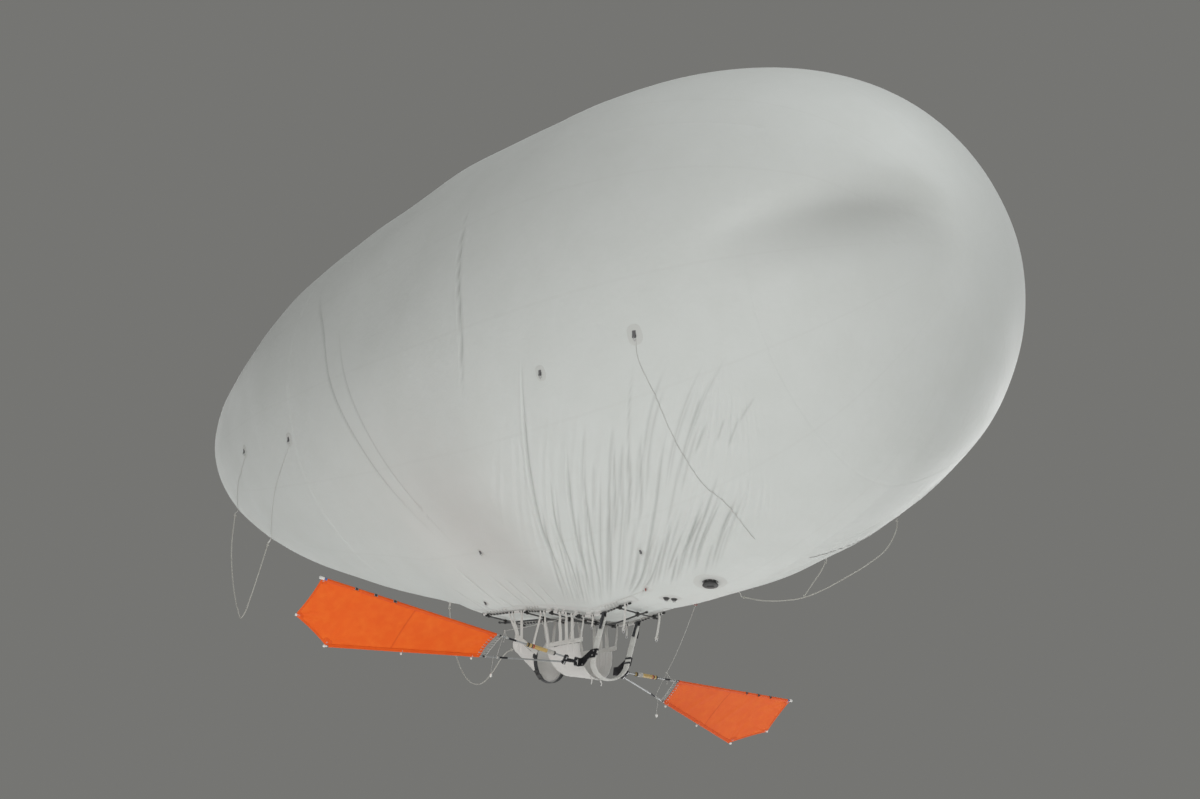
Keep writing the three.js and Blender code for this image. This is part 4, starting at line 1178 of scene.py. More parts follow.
s.make("hoop_stitching", STITCH, "padding")
# webbing that slings the hoop's ends from the keel tubes
for side, word in ((1, "left"), (-1, "right")):
    s = Shape()
    xt = hoop_x(HOOP_TOP)
    kz = keel_z(xt + 0.006)
    yk = side * KEEL_Y
    tilt = np.array([1, 0, 0.0])
    pts = [(hoop_x(HOOP_TOP - 0.085), side * (0.165 + 0.0105), HOOP_TOP - 0.085), (hoop_x(HOOP_TOP - 0.03), side * (0.165 + 0.0100), HOOP_TOP - 0.03), (xt + 0.003, yk + side * 0.0098, kz - 0.014)]
    for a in np.linspace(0, PI, 9):
        pts.append((xt + 0.006, yk + side * 0.0096 * math.cos(a), kz + 0.0096 * math.sin(a)))
    pts += [(xt + 0.003, yk - side * 0.0110, kz - 0.014), (hoop_x(HOOP_TOP - 0.03), side * (0.165 - 0.0100), HOOP_TOP - 0.03), (hoop_x(HOOP_TOP - 0.085), side * (0.165 - 0.0105), HOOP_TOP - 0.085)]
    s.ribbon(catmull(pts, 90), 0.030, 0.0018, tilt)
    buckle(s, (hoop_x(HOOP_TOP - 0.022), side * (0.165 + 0.0125), HOOP_TOP - 0.022), (1, 0, 0), (0.27, 0, 1), 0.040, 0.026, 1)
    tail = [(hoop_x(HOOP_TOP - 0.016), side * 0.180, HOOP_TOP - 0.016), (hoop_x(HOOP_TOP - 0.05) + 0.006, side * 0.184, HOOP_TOP - 0.05), (hoop_x(HOOP_TOP - 0.09) + 0.012, side * 0.1835, HOOP_TOP - 0.095)]
    s.ribbon(catmull(tail, 20), 0.029, 0.0016, tilt)
    s.make("hoop_hanger_" + word, [BLACK_WEB, DARK], "black_strap")


# --------------------------------------------------------------------- slings
SLINGS = {"leg_sling": (-0.375, -0.135, 0.150, -2.237, -2.388, 0.108, 0.192, -0.088, 0.0, 0.006),
          "torso_sling": (0.035, 0.420, 0.165, -2.368, -2.366, 0.198, 0.262, 0.080, 0.050, 0.006)}
FEET = {"leg_sling": [-0.362, -0.338, -0.292, -0.140], "torso_sling": [0.058, 0.208, 0.278, 0.350]}


def sling_point(name, u, a, inward=0.0):
    x0, x1, half, h0, h1, d0, d1, r0, r1, t = SLINGS[name]
    low = np.sin(a) ** 0.8
    x = x0 + (x1 - x0) * u
    y = (half - t / 2 - inward) * np.cos(a)
    depth = d0 + (d1 - d0) * u - t / 2 - inward
    return np.stack([x + (r0 + (r1 - r0) * u) * low, y, h0 + (h1 - h0) * u - depth * low], -1)


for name, (x0, x1, half, h0, h1, d0, d1, r0, r1, t) in SLINGS.items():
    n, m_ = 84, 120
    U, A = np.meshgrid(np.linspace(0, 1, n), np.linspace(0, PI, m_), indexing="ij")
    feet = [(f - x0) / (x1 - x0) for f in FEET[name]]
    inward = np.zeros_like(U)
    low = np.sin(A)
    for f in feet:  # pulls from each strap's foot, down the side
        for k in (-1, 1):
            sideways = A if k > 0 else PI - A
            lean = f + 0.10 * (0.5 - f) * sideways
            inward += 0.0042 * np.exp(-(((U - lean - 0.03) / 0.022) ** 2)) * np.exp(-((sideways / 0.75) ** 2))
            inward -= 0.0022 * np.exp(-(((U - lean + 0.01) / 0.018) ** 2)) * np.exp(-((sideways / 0.9) ** 2))
    wob = random.Random(len(name))
    for _ in range(9):  # soft cross folds in the slack bottom
        c, w, a0, aw = wob.uniform(0.05, 0.95), wob.uniform(0.02, 0.05), wob.uniform(0.9, 2.2), wob.uniform(0.35, 0.8)
        inward += wob.uniform(0.0015, 0.0038) * np.exp(-(((U - c - 0.06 * (A - a0)) / w) ** 2)) * np.exp(-(((A - a0) / aw) ** 2))
    ends = np.minimum(U, 1 - U)
    inward += 0.003 * np.exp(-((ends / 0.03) ** 2)) * low - 0.0015 * np.exp(-(((ends - 0.05) / 0.03) ** 2)) * low
    P = sling_point(name, U, A, np.clip(inward, -0.003, 0.010))
    # the hem dips a little between the straps
    dip = np.ones(n)
    for f in feet:
        dip = np.minimum(dip, np.abs(np.linspace(0, 1, n) - f) / 0.16)
    P[:, :, 2] -= (0.006 * np.clip(dip, 0, 1) ** 2)[:, None] * np.exp(-((np.minimum(A, PI - A) / 0.25) ** 2))
    s = Shape()
    arc_ = np.concatenate([np.zeros((n, 1)), np.cumsum(np.linalg.norm(np.diff(P, axis=1), axis=2), 1)], 1)
    s.grid(P, uv=np.stack([np.broadcast_to(U * (x1 - x0), U.shape), arc_], -1))
    cloth_ = s.make(name + "_cloth", SLING, "sling_cloth")
    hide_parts(name)
    wide, long_ = x1 - x0, float(arc_[:, -1].mean())
    s = Shape()
    for i in (0, n - 1):  # rolled front and rear edges
        s.tube(P[i], 0.0034, 8, scale=[1 + 0.12 * math.sin(j * 0.55) for j in range(m_)])
    for i, out in ((3, -1), (n - 4, 1)):
        stitches(s, P[i] + (P[i] - sling_point(name, U[i], A[i], 0.01)) * 0.08, (0, 0, 0), 1, 0.0065, 0.0042, 0.0006)
    # ties at the front edge
    if name == "torso_sling":
        for a0, drop in ((1.95, 0.060), (1.35, 0.048)):
            p = sling_point(name, np.array(1.0), np.array(a0))
            tie = catmull([p + [-0.004, 0, 0.002], p + [0.004, 0, -0.010], p + [0.012, 0.004, -0.028], p + [0.010, 0.002, -drop]], 20)
            s.ribbon(tie, 0.010, 0.0013, (1, 0.3, 0))
            knot(s, p + np.array([0.006, 0, -0.013]), 0.006, (0, 0, 1))
    edge = s.make(name + "_edges", [HEM, STITCH], "sling_cloth")

# --------------------------------------------------------------------- straps
STRAPS = [
    ("leg_straps", "leg_sling", -0.375, -0.085, -2.237, -2.412, [(-0.453, -0.362, 0.020), (-0.413, -0.338, 0.020), (-0.300, -0.292, 0.030), (-0.060, -0.140, 0.024)]),
    ("torso_straps", "torso_sling", 0.035, 0.468, -2.368, -2.366, [(-0.018, 0.058, 0.026), (0.172, 0.208, 0.034), (0.250, 0.278, 0.034), (0.318, 0.350, 0.034), (0.456, 0.452, 0.016)]),
]


def tube_loop(s, x, y0, w, mat=0, drop=0.030):
    """A band of webbing round the keel tube, sewn together below it."""
    z = keel_z(x)
    pts = [(x, y0 - 0.0016, z - drop), (x, y0 - 0.0030, z - 0.016)]
    for a in np.linspace(-0.35, PI + 0.35, 13):
        pts.append((x, y0 - 0.0093 * math.cos(a), z + 0.0093 * math.sin(a)))
    pts += [(x, y0 + 0.0030, z - 0.016), (x, y0 + 0.0016, z - drop)]
    s.ribbon(catmull(pts, 60), w, 0.0014, (1, 0, 0), mat)


for set_, sling_, x0, x1, h0, h1, rows in STRAPS:
    half = SLINGS[sling_][2]
    for side, word in ((1, "left"), (-1, "right")):
        y = side * (half + 0.0025 + 0.0007)
        s = Shape()
        hem_z = lambda x: h0 + (h1 - h0) * (x - x0) / (x1 - x0)
        # hem band: folded cloth, sewn twice
        n = 60
        path = [(x, y, hem_z(x) + 0.017) for x in np.linspace(x0, x1, n)]
        d = np.array([x1 - x0, 0, h1 - h0])
        d /= np.linalg.norm(d)
        up_ = np.array([-d[2], 0, d[0]])
        prof_rings = []
        for i, p in enumerate(path):
            u = i / (n - 1)
            wav = 0.0008 * math.sin(31 * u * 3 + side)
            end = min(1, min(u, 1 - u) * 30 + 0.25)
            row = []
            for k in range(24):
                a = 2 * PI * k / 24
                hh = math.copysign(abs(math.cos(a)) ** 0.5, math.cos(a)) * 0.0168
                tt = math.copysign(abs(math.sin(a)) ** 0.6, math.sin(a)) * (0.0024 - 0.0009 * math.exp(-(((abs(hh) - 0.0125) / 0.0018) ** 2))) * end
                row.append(np.array(p) + up_ * hh + np.array([0, side * tt + wav, 0]))
            prof_rings.append(row)
        s.grid(prof_rings, wrap=True, flip=side > 0)
        s.cap(prof_rings[0], flip=side < 0)
        s.cap(prof_rings[-1], flip=side > 0)
        for hh in (-0.0125, 0.0125):
            for out in (1, -1):
                stitches(s, [np.array(p) + up_ * hh + np.array([0, side * out * 0.0019, 0]) for p in path], (0, side * out, 0), 1, 0.0065, 0.0042, 0.0006)
        for k, (top, foot, w) in enumerate(rows):
            kz = keel_z(top)
            f = min(x1, max(x0, foot))
            fz = hem_z(f)
            ys = side * KEEL_Y
            face = y + side * 0.0036
            tube_loop(s, top, ys, min(w * 0.72, 0.024), 0, 0.026)
            a = np.array([top, ys, kz - 0.013])
            c = np.array([foot, face, fz + 0.030])
            e = np.array([foot, face, fz + 0.004])
            lean = (c - a)
            bow = 0.0035 * math.sin(5.3 * k + side)
            pts = [a, a + lean * 0.12, a + lean * 0.35 + [bow, side * 0.0015, 0], a + lean * 0.68 + [-bow * 0.6, 0, 0], c, e]
            line = catmull(pts, 46)
            q = np.linspace(0, 1, 46)
            width = 0.62 + 0.38 * ease(q / 0.35) + 0.22 * ease((q - 0.7) / 0.3)
            rings_ = []
            TT, BB, NN = frames(line, (1, 0, 0))
            for i in range(46):
                row = []
                puck = (1 - ease(q[i] / 0.45)) * 0.0016  # gathers where it is pulled together at the top
                for kk in range(16):
                    v = -1 + 2 * kk / 15
                    row.append(line[i] + BB[i] * v * w / 2 * width[i] + NN[i] * (0.0010 + puck * math.sin(v * 8.5 + k)))
                for kk in range(16):
                    v = 1 - 2 * kk / 15
                    row.append(line[i] + BB[i] * v * w / 2 * width[i] + NN[i] * (-0.0010 + puck * math.sin(v * 8.5 + k)))
                rings_.append(row)
            s.grid(rings_, wrap=True, flip=True)
            s.cap(rings_[0])
            s.cap(rings_[-1], flip=True)
            # stitched box on the hem
            bw, z0, z1 = w * 0.48, fz + 0.008, fz + 0.028
            corner = [np.array([foot + sx * bw, face + side * 0.0014, z]) for sx, z in ((-1, z0), (1, z0), (1, z1), (-1, z1), (-1, z0))]
            for p0, p1 in list(zip(corner, corner[1:])) + [(corner[0], corner[2]), (corner[1], corner[3])]:
                stitches(s, [p0, p1], (0, side, 0), 1, 0.0048, 0.0032, 0.0006)
            zt = kz - 0.019
            for dz in (0, -0.005):
                for out in (1, -1):
                    stitches(s, [(top - w * 0.27, ys + out * 0.0026, zt + dz), (top + w * 0.27, ys + out * 0.0026, zt + dz)], (0, out, 0), 1, 0.0042, 0.0028, 0.0006)
        o = s.make(f"{set_}_{word}_webbing", [WEB, STITCH], "webbing")
        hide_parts(f"{set_}_{word}")

# head straps and small tabs on the keel
for side, word in ((1, "left"), (-1, "right")):
    ys = side * KEEL_Y
    s = Shape()
    kz = keel_z(0.930)
    tube_loop(s, 0.930, ys, 0.020, 0, 0.030)
    z = kz - 0.011
    pts = [(0.930, ys, z - 0.004), (0.929, ys - side * 0.001, z - 0.05), (0.926, ys - side * 0.004, z - 0.11), (0.922, ys - side * 0.006, z - 0.160)]
    s.ribbon(catmull(pts, 40), 0.025, 0.0018, (1, 0, 0), scale=np.stack([0.75 + 0.25 * ease(np.linspace(0, 1, 40) / 0.3), np.ones(40)], 1))
    low = np.array([0.9215, ys - side * 0.0064, z - 0.176])
    ringp = [low + np.array([0, side * 0.007 * math.sin(a), -0.013 * math.cos(a) + 0.006]) for a in np.linspace(-PI * 0.96, PI * 0.96, 25)]
    s.ribbon(ringp, 0.024, 0.0016, (1, 0, 0))
    ring(s, low + [0, 0, -0.012], (0, 1, 0), 0.0125, 0.0018, 1, 24, 8)
    for dz in (0.020, 0.026):
        for out in (1, -1):
            stitches(s, [low + [-0.010, out * 0.0016, dz], low + [0.010, out * 0.0016, dz]], (0, out, 0), 2, 0.0045, 0.003, 0.0006)
    o = s.make(f"head_strap_{word}", [WEB, STEEL, STITCH], "webbing")
    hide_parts(f"front_strap_{word}")
    s = Shape()
    tube_loop(s, 0.567, ys, 0.016, 0, 0.028)
    kz = keel_z(0.567)
    pts = [(0.567, ys, kz - 0.014), (0.568, ys + side * 0.002, kz - 0.045), (0.566, ys + side * 0.004, kz - 0.085)]
    s.ribbon(catmull(pts, 24), 0.019, 0.0016, (1, 0.1, 0))
    ring(s, (0.566, ys + side * 0.004, kz - 0.094), (0, 1, 0.1), 0.0098, 0.0015, 1, 20, 8)
    s.make(f"keel_tab_{word}", [WEB, STEEL], "webbing")

# ------------------------------------------------------------------ hip strap
n = 110
A = np.linspace(0, PI, n)
low = np.sin(A) ** 0.8
hip = np.stack([np.full(n, -0.107), 0.1480 * np.cos(A), -2.378 - 0.2160 * low], -1)
hip[:, 0] += 0.003 * np.sin(A * 2)
s = Shape()
s.ribbon(hip, 0.044, 0.0026, (1, 0, 0), edges=8)
for k in (-1, 1):
    stitches(s, hip[6:-6] + [k * 0.018, 0, 0], (0, 0, 0), 1, 0.0075, 0.005, 0.0017)
o = s.make("hip_strap_webbing", [BLACK_WEB, BLACK_WEB], "black_strap")
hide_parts("hip_strap")
s = Shape()
i = int(n * 0.70)
tan = hip[i + 1] - hip[i - 1]
tan /= np.linalg.norm(tan)
out = np.cross(tan, (1, 0, 0))
if out[2] > 0:
    out = -out
axes = [np.array([1.0, 0, 0]), tan, np.cross((1.0, 0, 0), tan)]
c = hip[i] + out * 0.0015
s.box(c, (0.052, 0.040, 0.012), axes, 0, 0.3)
for k in (-1, 1):
    s.box(c + tan * 0.030 + np.array([k * 0.019, 0, 0]), (0.010, 0.026, 0.0095), axes, 0, 0.3)
s.box(c + tan * 0.036, (0.012, 0.018, 0.008), axes, 0, 0.3)
s.box(c + tan * 0.048, (0.054, 0.012, 0.011), axes, 0, 0.3)
s.box(c - tan * 0.026, (0.054, 0.010, 0.011), axes, 0, 0.3)
for k, sgn in ((4, 1), (n - 5, -1)):
    buckle(s, hip[k] + [0, sgn * 0.0035, 0.004], (1, 0, 0), (0, 0, 1), 0.054, 0.030, 0)
s.make("hip_strap_buckles", DARK, "black_strap", angle=40)

# ---------------------------------------------------------------------- ports
s, t = Shape(), Shape()
p, nrm = skin_point(1.745, -0.095, 0.0)
b0 = -math.asin(-0.095 / float(radius(1.745)))
disc_on_skin(s, 1.745, b0, 0.125, 0.125, 0.0030, 0)
disc_on_skin(s, 1.287, -math.asin(-0.056 / float(radius(1.287))), 0.085, 0.075, 0.0030, 0, square=3.0)
pp = np.array([1.74993, -0.09701, -2.08992])
ax = np.array([0.144991, -0.059129, -0.987665])
base = pp - ax * 0.034
t.lathe(base, ax, [(0.046, 0.0), (0.062, 0.0), (0.062, 0.0045), (0.058, 0.0065), (0.046, 0.0065)], 40, 0)
t.lathe(base, ax, [(0.0558, 0.0215), (0.0566, 0.024), (0.0566, 0.029), (0.0556, 0.0305)], 40, 0)
xx = Vector(ax).orthogonal().normalized()
yy = Vector(ax).cross(xx)
for k in range(10):
    a = 2 * PI * k / 10
    d = np.array(xx) * math.cos(a) + np.array(yy) * math.sin(a)
    bolt(t, base + d * 0.0560 + ax * 0.0062, ax, 0.0030, 0.0028, 1)
for k in range(24):  # finger ribs round the lid
    a = 2 * PI * k / 24
    d = np.array(xx) * math.cos(a) + np.array(yy) * math.sin(a)
    t.box(base + d * 0.0562 + ax * 0.0262, (0.0030, 0.0040, 0.0062), [d, np.cross(ax, d), ax], 0, 0.3)
t.box(base + ax * 0.0355, (0.052, 0.012, 0.006), [np.array(xx), np.array(yy), ax], 0, 0.35)
for x, y, r in ((1.303, -0.032, 0.018), (1.271, -0.080, 0.018)):
    p, nr = skin_point(x, y, 0.002)
    t.lathe(p, nr, [(r * 1.35, 0.0), (r * 1.35, 0.003), (r * 1.15, 0.006), (r * 0.8, 0.0135)], 28, 0)
    q = skin_point(x, y, 0.0)[0]
    for k in range(5):
        a = 2 * PI * k / 5
        u = Vector(nr).orthogonal().normalized()
        v = Vector(nr).cross(u)
        t.box(np.array(q) + np.array(nr) * 0.0245 + (np.array(u) * math.cos(a) + np.array(v) * math.sin(a)) * r * 0.45, (r * 0.5, 0.0022, 0.0022), [np.array(u * math.cos(a) + v * math.sin(a)), np.array(-u * math.sin(a) + v * math.cos(a)), np.array(nr)], 0, 0.3)
s.make("port_patches", PATCH, "film")
t.make("port_fittings", [DARK, STEEL], "dark_ports", angle=40)

# ------------------------------------------- patches, handling lines and seams
patches, tabs, lines = Shape(), Shape(), Shape()


def tab_at(x, b, size=1.0, dark=True, along=(0, 0, -1)):
    p, nr = on_skin(x, b, 0.003)
    d = Vector(along) - Vector(nr) * Vector(along).dot(Vector(nr))
    d.normalize()
    w = Vector(nr).cross(d)
    d, w, nr = np.array(d), np.array(w), np.array(nr)
    top = p - d * 0.022 * size
    pts = [top, p - d * 0.004 * size + nr * 0.001, p + d * 0.010 * size + nr * 0.006, p + d * 0.016 * size + nr * 0.011, p + d * 0.010 * size + nr * 0.015, p - d * 0.002 * size + nr * 0.008, top + nr * 0.0025]
    tabs.ribbon(catmull(pts, 30), 0.022 * size, 0.0016, w, 0 if dark else 1)
    ring(tabs, p + d * 0.021 * size + nr * 0.011, w, 0.0105 * size, 0.0016, 2, 22, 8)
    return p + d * 0.031 * size + nr * 0.011


def foot_of(q):
    """Station and angle from the keel of the film's point nearest to q."""
    X, B = np.meshgrid(np.linspace(q[0] - 0.08, q[0] + 0.08, 41), b_at(q) + np.linspace(-0.16, 0.16, 61))
    X, B = X.ravel(), B.ravel()
    i = int(((skin(X, B) - q) ** 2).sum(1).argmin())
    return float(X[i]), float(B[i])


def skin_line(points, r, mat=0, count=60, lift=0.0):
    """A thin line that lies on the film, through points (station, angle from the keel)."""
    q = catmull([(x, b * ACROSS) for x, b in points], count)
    X, B = q[:, 0], q[:, 1] / ACROSS
    P = skin(X, B) + skin_normal(X, B) * (relief(X, B) + r + lift + 0.0012)[:, None]
    lines.tube(P, r, 6, mat=mat)
    return P


SEAM = [(2.414, -2.698), (2.376, -2.618), (2.400, -2.446), (2.378, -2.272), (2.368, -2.166), (2.366, -2.045), (2.402, -1.939), (2.353, -1.730)]
for side in (1, -1):
    for x, a, big in ((2.400, -2.695, 1.0), (1.507, -2.660, 0.8), (-3.085, -2.735, 0.8), (-2.050, -2.71, 0.8)):
        b = side * up_from_keel(a)
        disc_on_skin(patches, x, b, 0.062 * big, 0.072 * big, 0.0026, 0, square=2.6)
        disc_on_skin(patches, x, b, 0.032 * big, 0.040 * big, 0.0042, 0, square=2.6, rings=5)
        tab_at(x, b, 1.3 * big, True)
    skin_line([(x, side * up_from_keel(a)) for x, a in SEAM], 0.0024, 0, 200)
    for x, a in ((-0.085, -2.022), (-0.600, -1.742), (1.506, -1.883)):
        b = side * up_from_keel(a)
        disc_on_skin(patches, x, b, 0.030, 0.034, 0.0026, 0)
        tab_at(x, b, 0.7, True)
# from the rear patches, lines run down the film to the rope that hangs under the tail
for (x, a), name, end in (((-3.085, -2.735), "tail_rope", 0), ((-2.050, -2.71), "tail_rope", -1)):
    q = PATHS[name][end]
    x1, b1 = foot_of(q)
    b0 = up_from_keel(a)
    skin_line([(x, b0 - 0.03), (x * 0.66 + x1 * 0.34, b0 * 0.68 + b1 * 0.32), (x * 0.3 + x1 * 0.7, b0 * 0.32 + b1 * 0.68), (x1, b1)], 0.0022, 0, 120)
lines.make("skin_lines", PALE_CORD, "rope")
# where each rope meets the film: patch, tab and knot
knots = Shape()
for name, ends in (("tail_rope", (0, -1)), ("nose_line", (0, -1)), ("nose_line_branch", (0,)), ("foot_line", (0,))):
    for e in ends:
        q = PATHS[name][e]
        x0, b = foot_of(q)
        disc_on_skin(patches, x0, b, 0.040, 0.046, 0.0028, 0)
        nr = skin_normal(x0, b)
        root = on_skin(x0, b, 0.0036)[0]
        step = PATHS[name][6 if e == 0 else -7] - q
        step /= np.linalg.norm(step)
        knot(knots, q + step * 0.020, 0.0095 if name == "tail_rope" else 0.0078, step)
        across = np.cross(nr, step)
        across /= np.linalg.norm(across)
        flat = np.cross(across, nr)
        tabs.ribbon(catmull([root - flat * 0.028, root - flat * 0.010 + nr * 0.001, root * 0.55 + q * 0.45 + nr * 0.002, q, q + step * 0.014], 18), 0.016, 0.0015, across, 1)
q = PATHS["nose_line_branch"][-1]
knot(knots, q, 0.0085, (0.5, 0.2, -0.3))
q = PATHS["foot_line"][-1]
knot(knots, q + np.array([-0.018, 0, 0.0]), 0.0085, (1, 0, 0.1))
knots.make("rope_knots", ROPE, "rope")
patches.make("skin_patches", PATCH, "film")
tabs.make("skin_tabs", [GREY_WEB, WEB, STEEL], "black_strap")


# ---------------------------------------------------------------------- wings
SWEEP, FEATHER, HALF, APEX = math.radians(13.3), math.radians(42.6), math.radians(7.67), 0.080
PIVOT = (0.460, 0.213, -2.526)
ROOT_A, TIP_A, TIP_B, MID_T, ROOT_B = (0.104, 0.691), (0.297, 2.129), (-0.049, 2.203), (-0.265, 1.887), (-0.111, 0.742)
TAN = math.tan(HALF)


def wing_matrix(side, sweep=True, feather=True):
    m_ = Matrix.Translation((PIVOT[0], side * PIVOT[1], PIVOT[2]))
    if sweep:
        m_ = m_ @ Matrix.Rotation(side * SWEEP, 4, "Z")
    if feather:
        m_ = m_ @ Matrix.Rotation(-FEATHER, 4, "Y")
    return np.array(m_)


def sail_at(t, u, lift=0.0):
    """A point of the cloth: t from root to tip, u from the leading spar to the rear edge, in the wing's plane."""
    t, u = np.broadcast_arrays(np.asarray(t, float), np.asarray(u, float))
    cut = 0.79
    ax_, as_ = ROOT_A[0] + (TIP_A[0] - ROOT_A[0]) * t, ROOT_A[1] + (TIP_A[1] - ROOT_A[1]) * t
    lower = np.clip(t / cut, 0, 1)
    upper = np.clip((t - cut) / (1 - cut), 0, 1)
    bx = ROOT_B[0] + (MID_T[0] - ROOT_B[0]) * lower + (TIP_B[0] - MID_T[0]) * upper
    bs = ROOT_B[1] + (MID_T[1] - ROOT_B[1]) * lower + (TIP_B[1] - MID_T[1]) * upper
    # free edges are cut a little hollow
    hollow = 0.010 * np.sin(PI * upper) * u
    bx, bs = bx + hollow * 0.8, bs - hollow * 0.5
    c, s_ = ax_ + (bx - ax_) * u, as_ + (bs - as_) * u
    s_ = s_ + 0.012 * np.sin(PI * u) * np.clip(1 - t / 0.08, 0, 1) - 0.010 * np.sin(PI * u) * np.clip((t - 0.92) / 0.08, 0, 1)
    fold = 0.011 * np.sin(PI * np.clip(u, 0, 1)) * np.sin(PI * np.clip(t, 0, 1)) ** 0.6
    fold = fold + 0.0016 * np.sin(2 * PI * (3.2 * t - 1.4 * u)) * np.sin(PI * u) * np.exp(-((t - 0.15) / 0.35) ** 2)
    for k, (a, w_, f) in enumerate(((0.30, 0.020, 0.9), (0.45, 0.024, 0.6), (0.62, 0.022, 1.1), (0.80, 0.026, 0.8))):
        line = a + 0.16 * (u - 0.5) * (1 if k % 2 else -1)
        fold = fold - 0.0022 * f * np.exp(-(((t - line) / w_) ** 2)) * np.sin(PI * u) ** 0.5
    for c0, s0, d0, d1 in ((TIP_A[0], TIP_A[1], -0.5, -0.9), (ROOT_A[0], ROOT_A[1], -0.35, 0.95), (MID_T[0], MID_T[1], 0.8, -0.5), (TIP_B[0], TIP_B[1], 0.1, -1.0)):
        dx, dy = c - c0, s_ - s0
        far = np.sqrt(dx * dx + dy * dy)
        ang = np.arctan2(dx * d1 - dy * d0, dx * d0 + dy * d1)
        fold = fold + 0.0018 * np.cos(ang * 13) * np.exp(-far / 0.22) * np.clip(far / 0.04, 0, 1) * np.exp(-((ang / 0.8) ** 2))
    return np.stack([c, s_, fold + lift], -1)


def place(side, P, sweep=True, feather=True):
    P = np.asarray(P, float)
    q = P * np.array([1, side, 1])
    W = wing_matrix(side, sweep, feather)
    return q @ W[:3, :3].T + W[:3, 3]


def direction(side, d, sweep=True, feather=True):
    W = wing_matrix(side, sweep, feather)
    return (np.asarray(d, float) * np.array([1, side, 1])) @ W[:3, :3].T


def spar_at(s_, sign):
    return (sign * (s_ + APEX) * TAN, s_, 0.0)


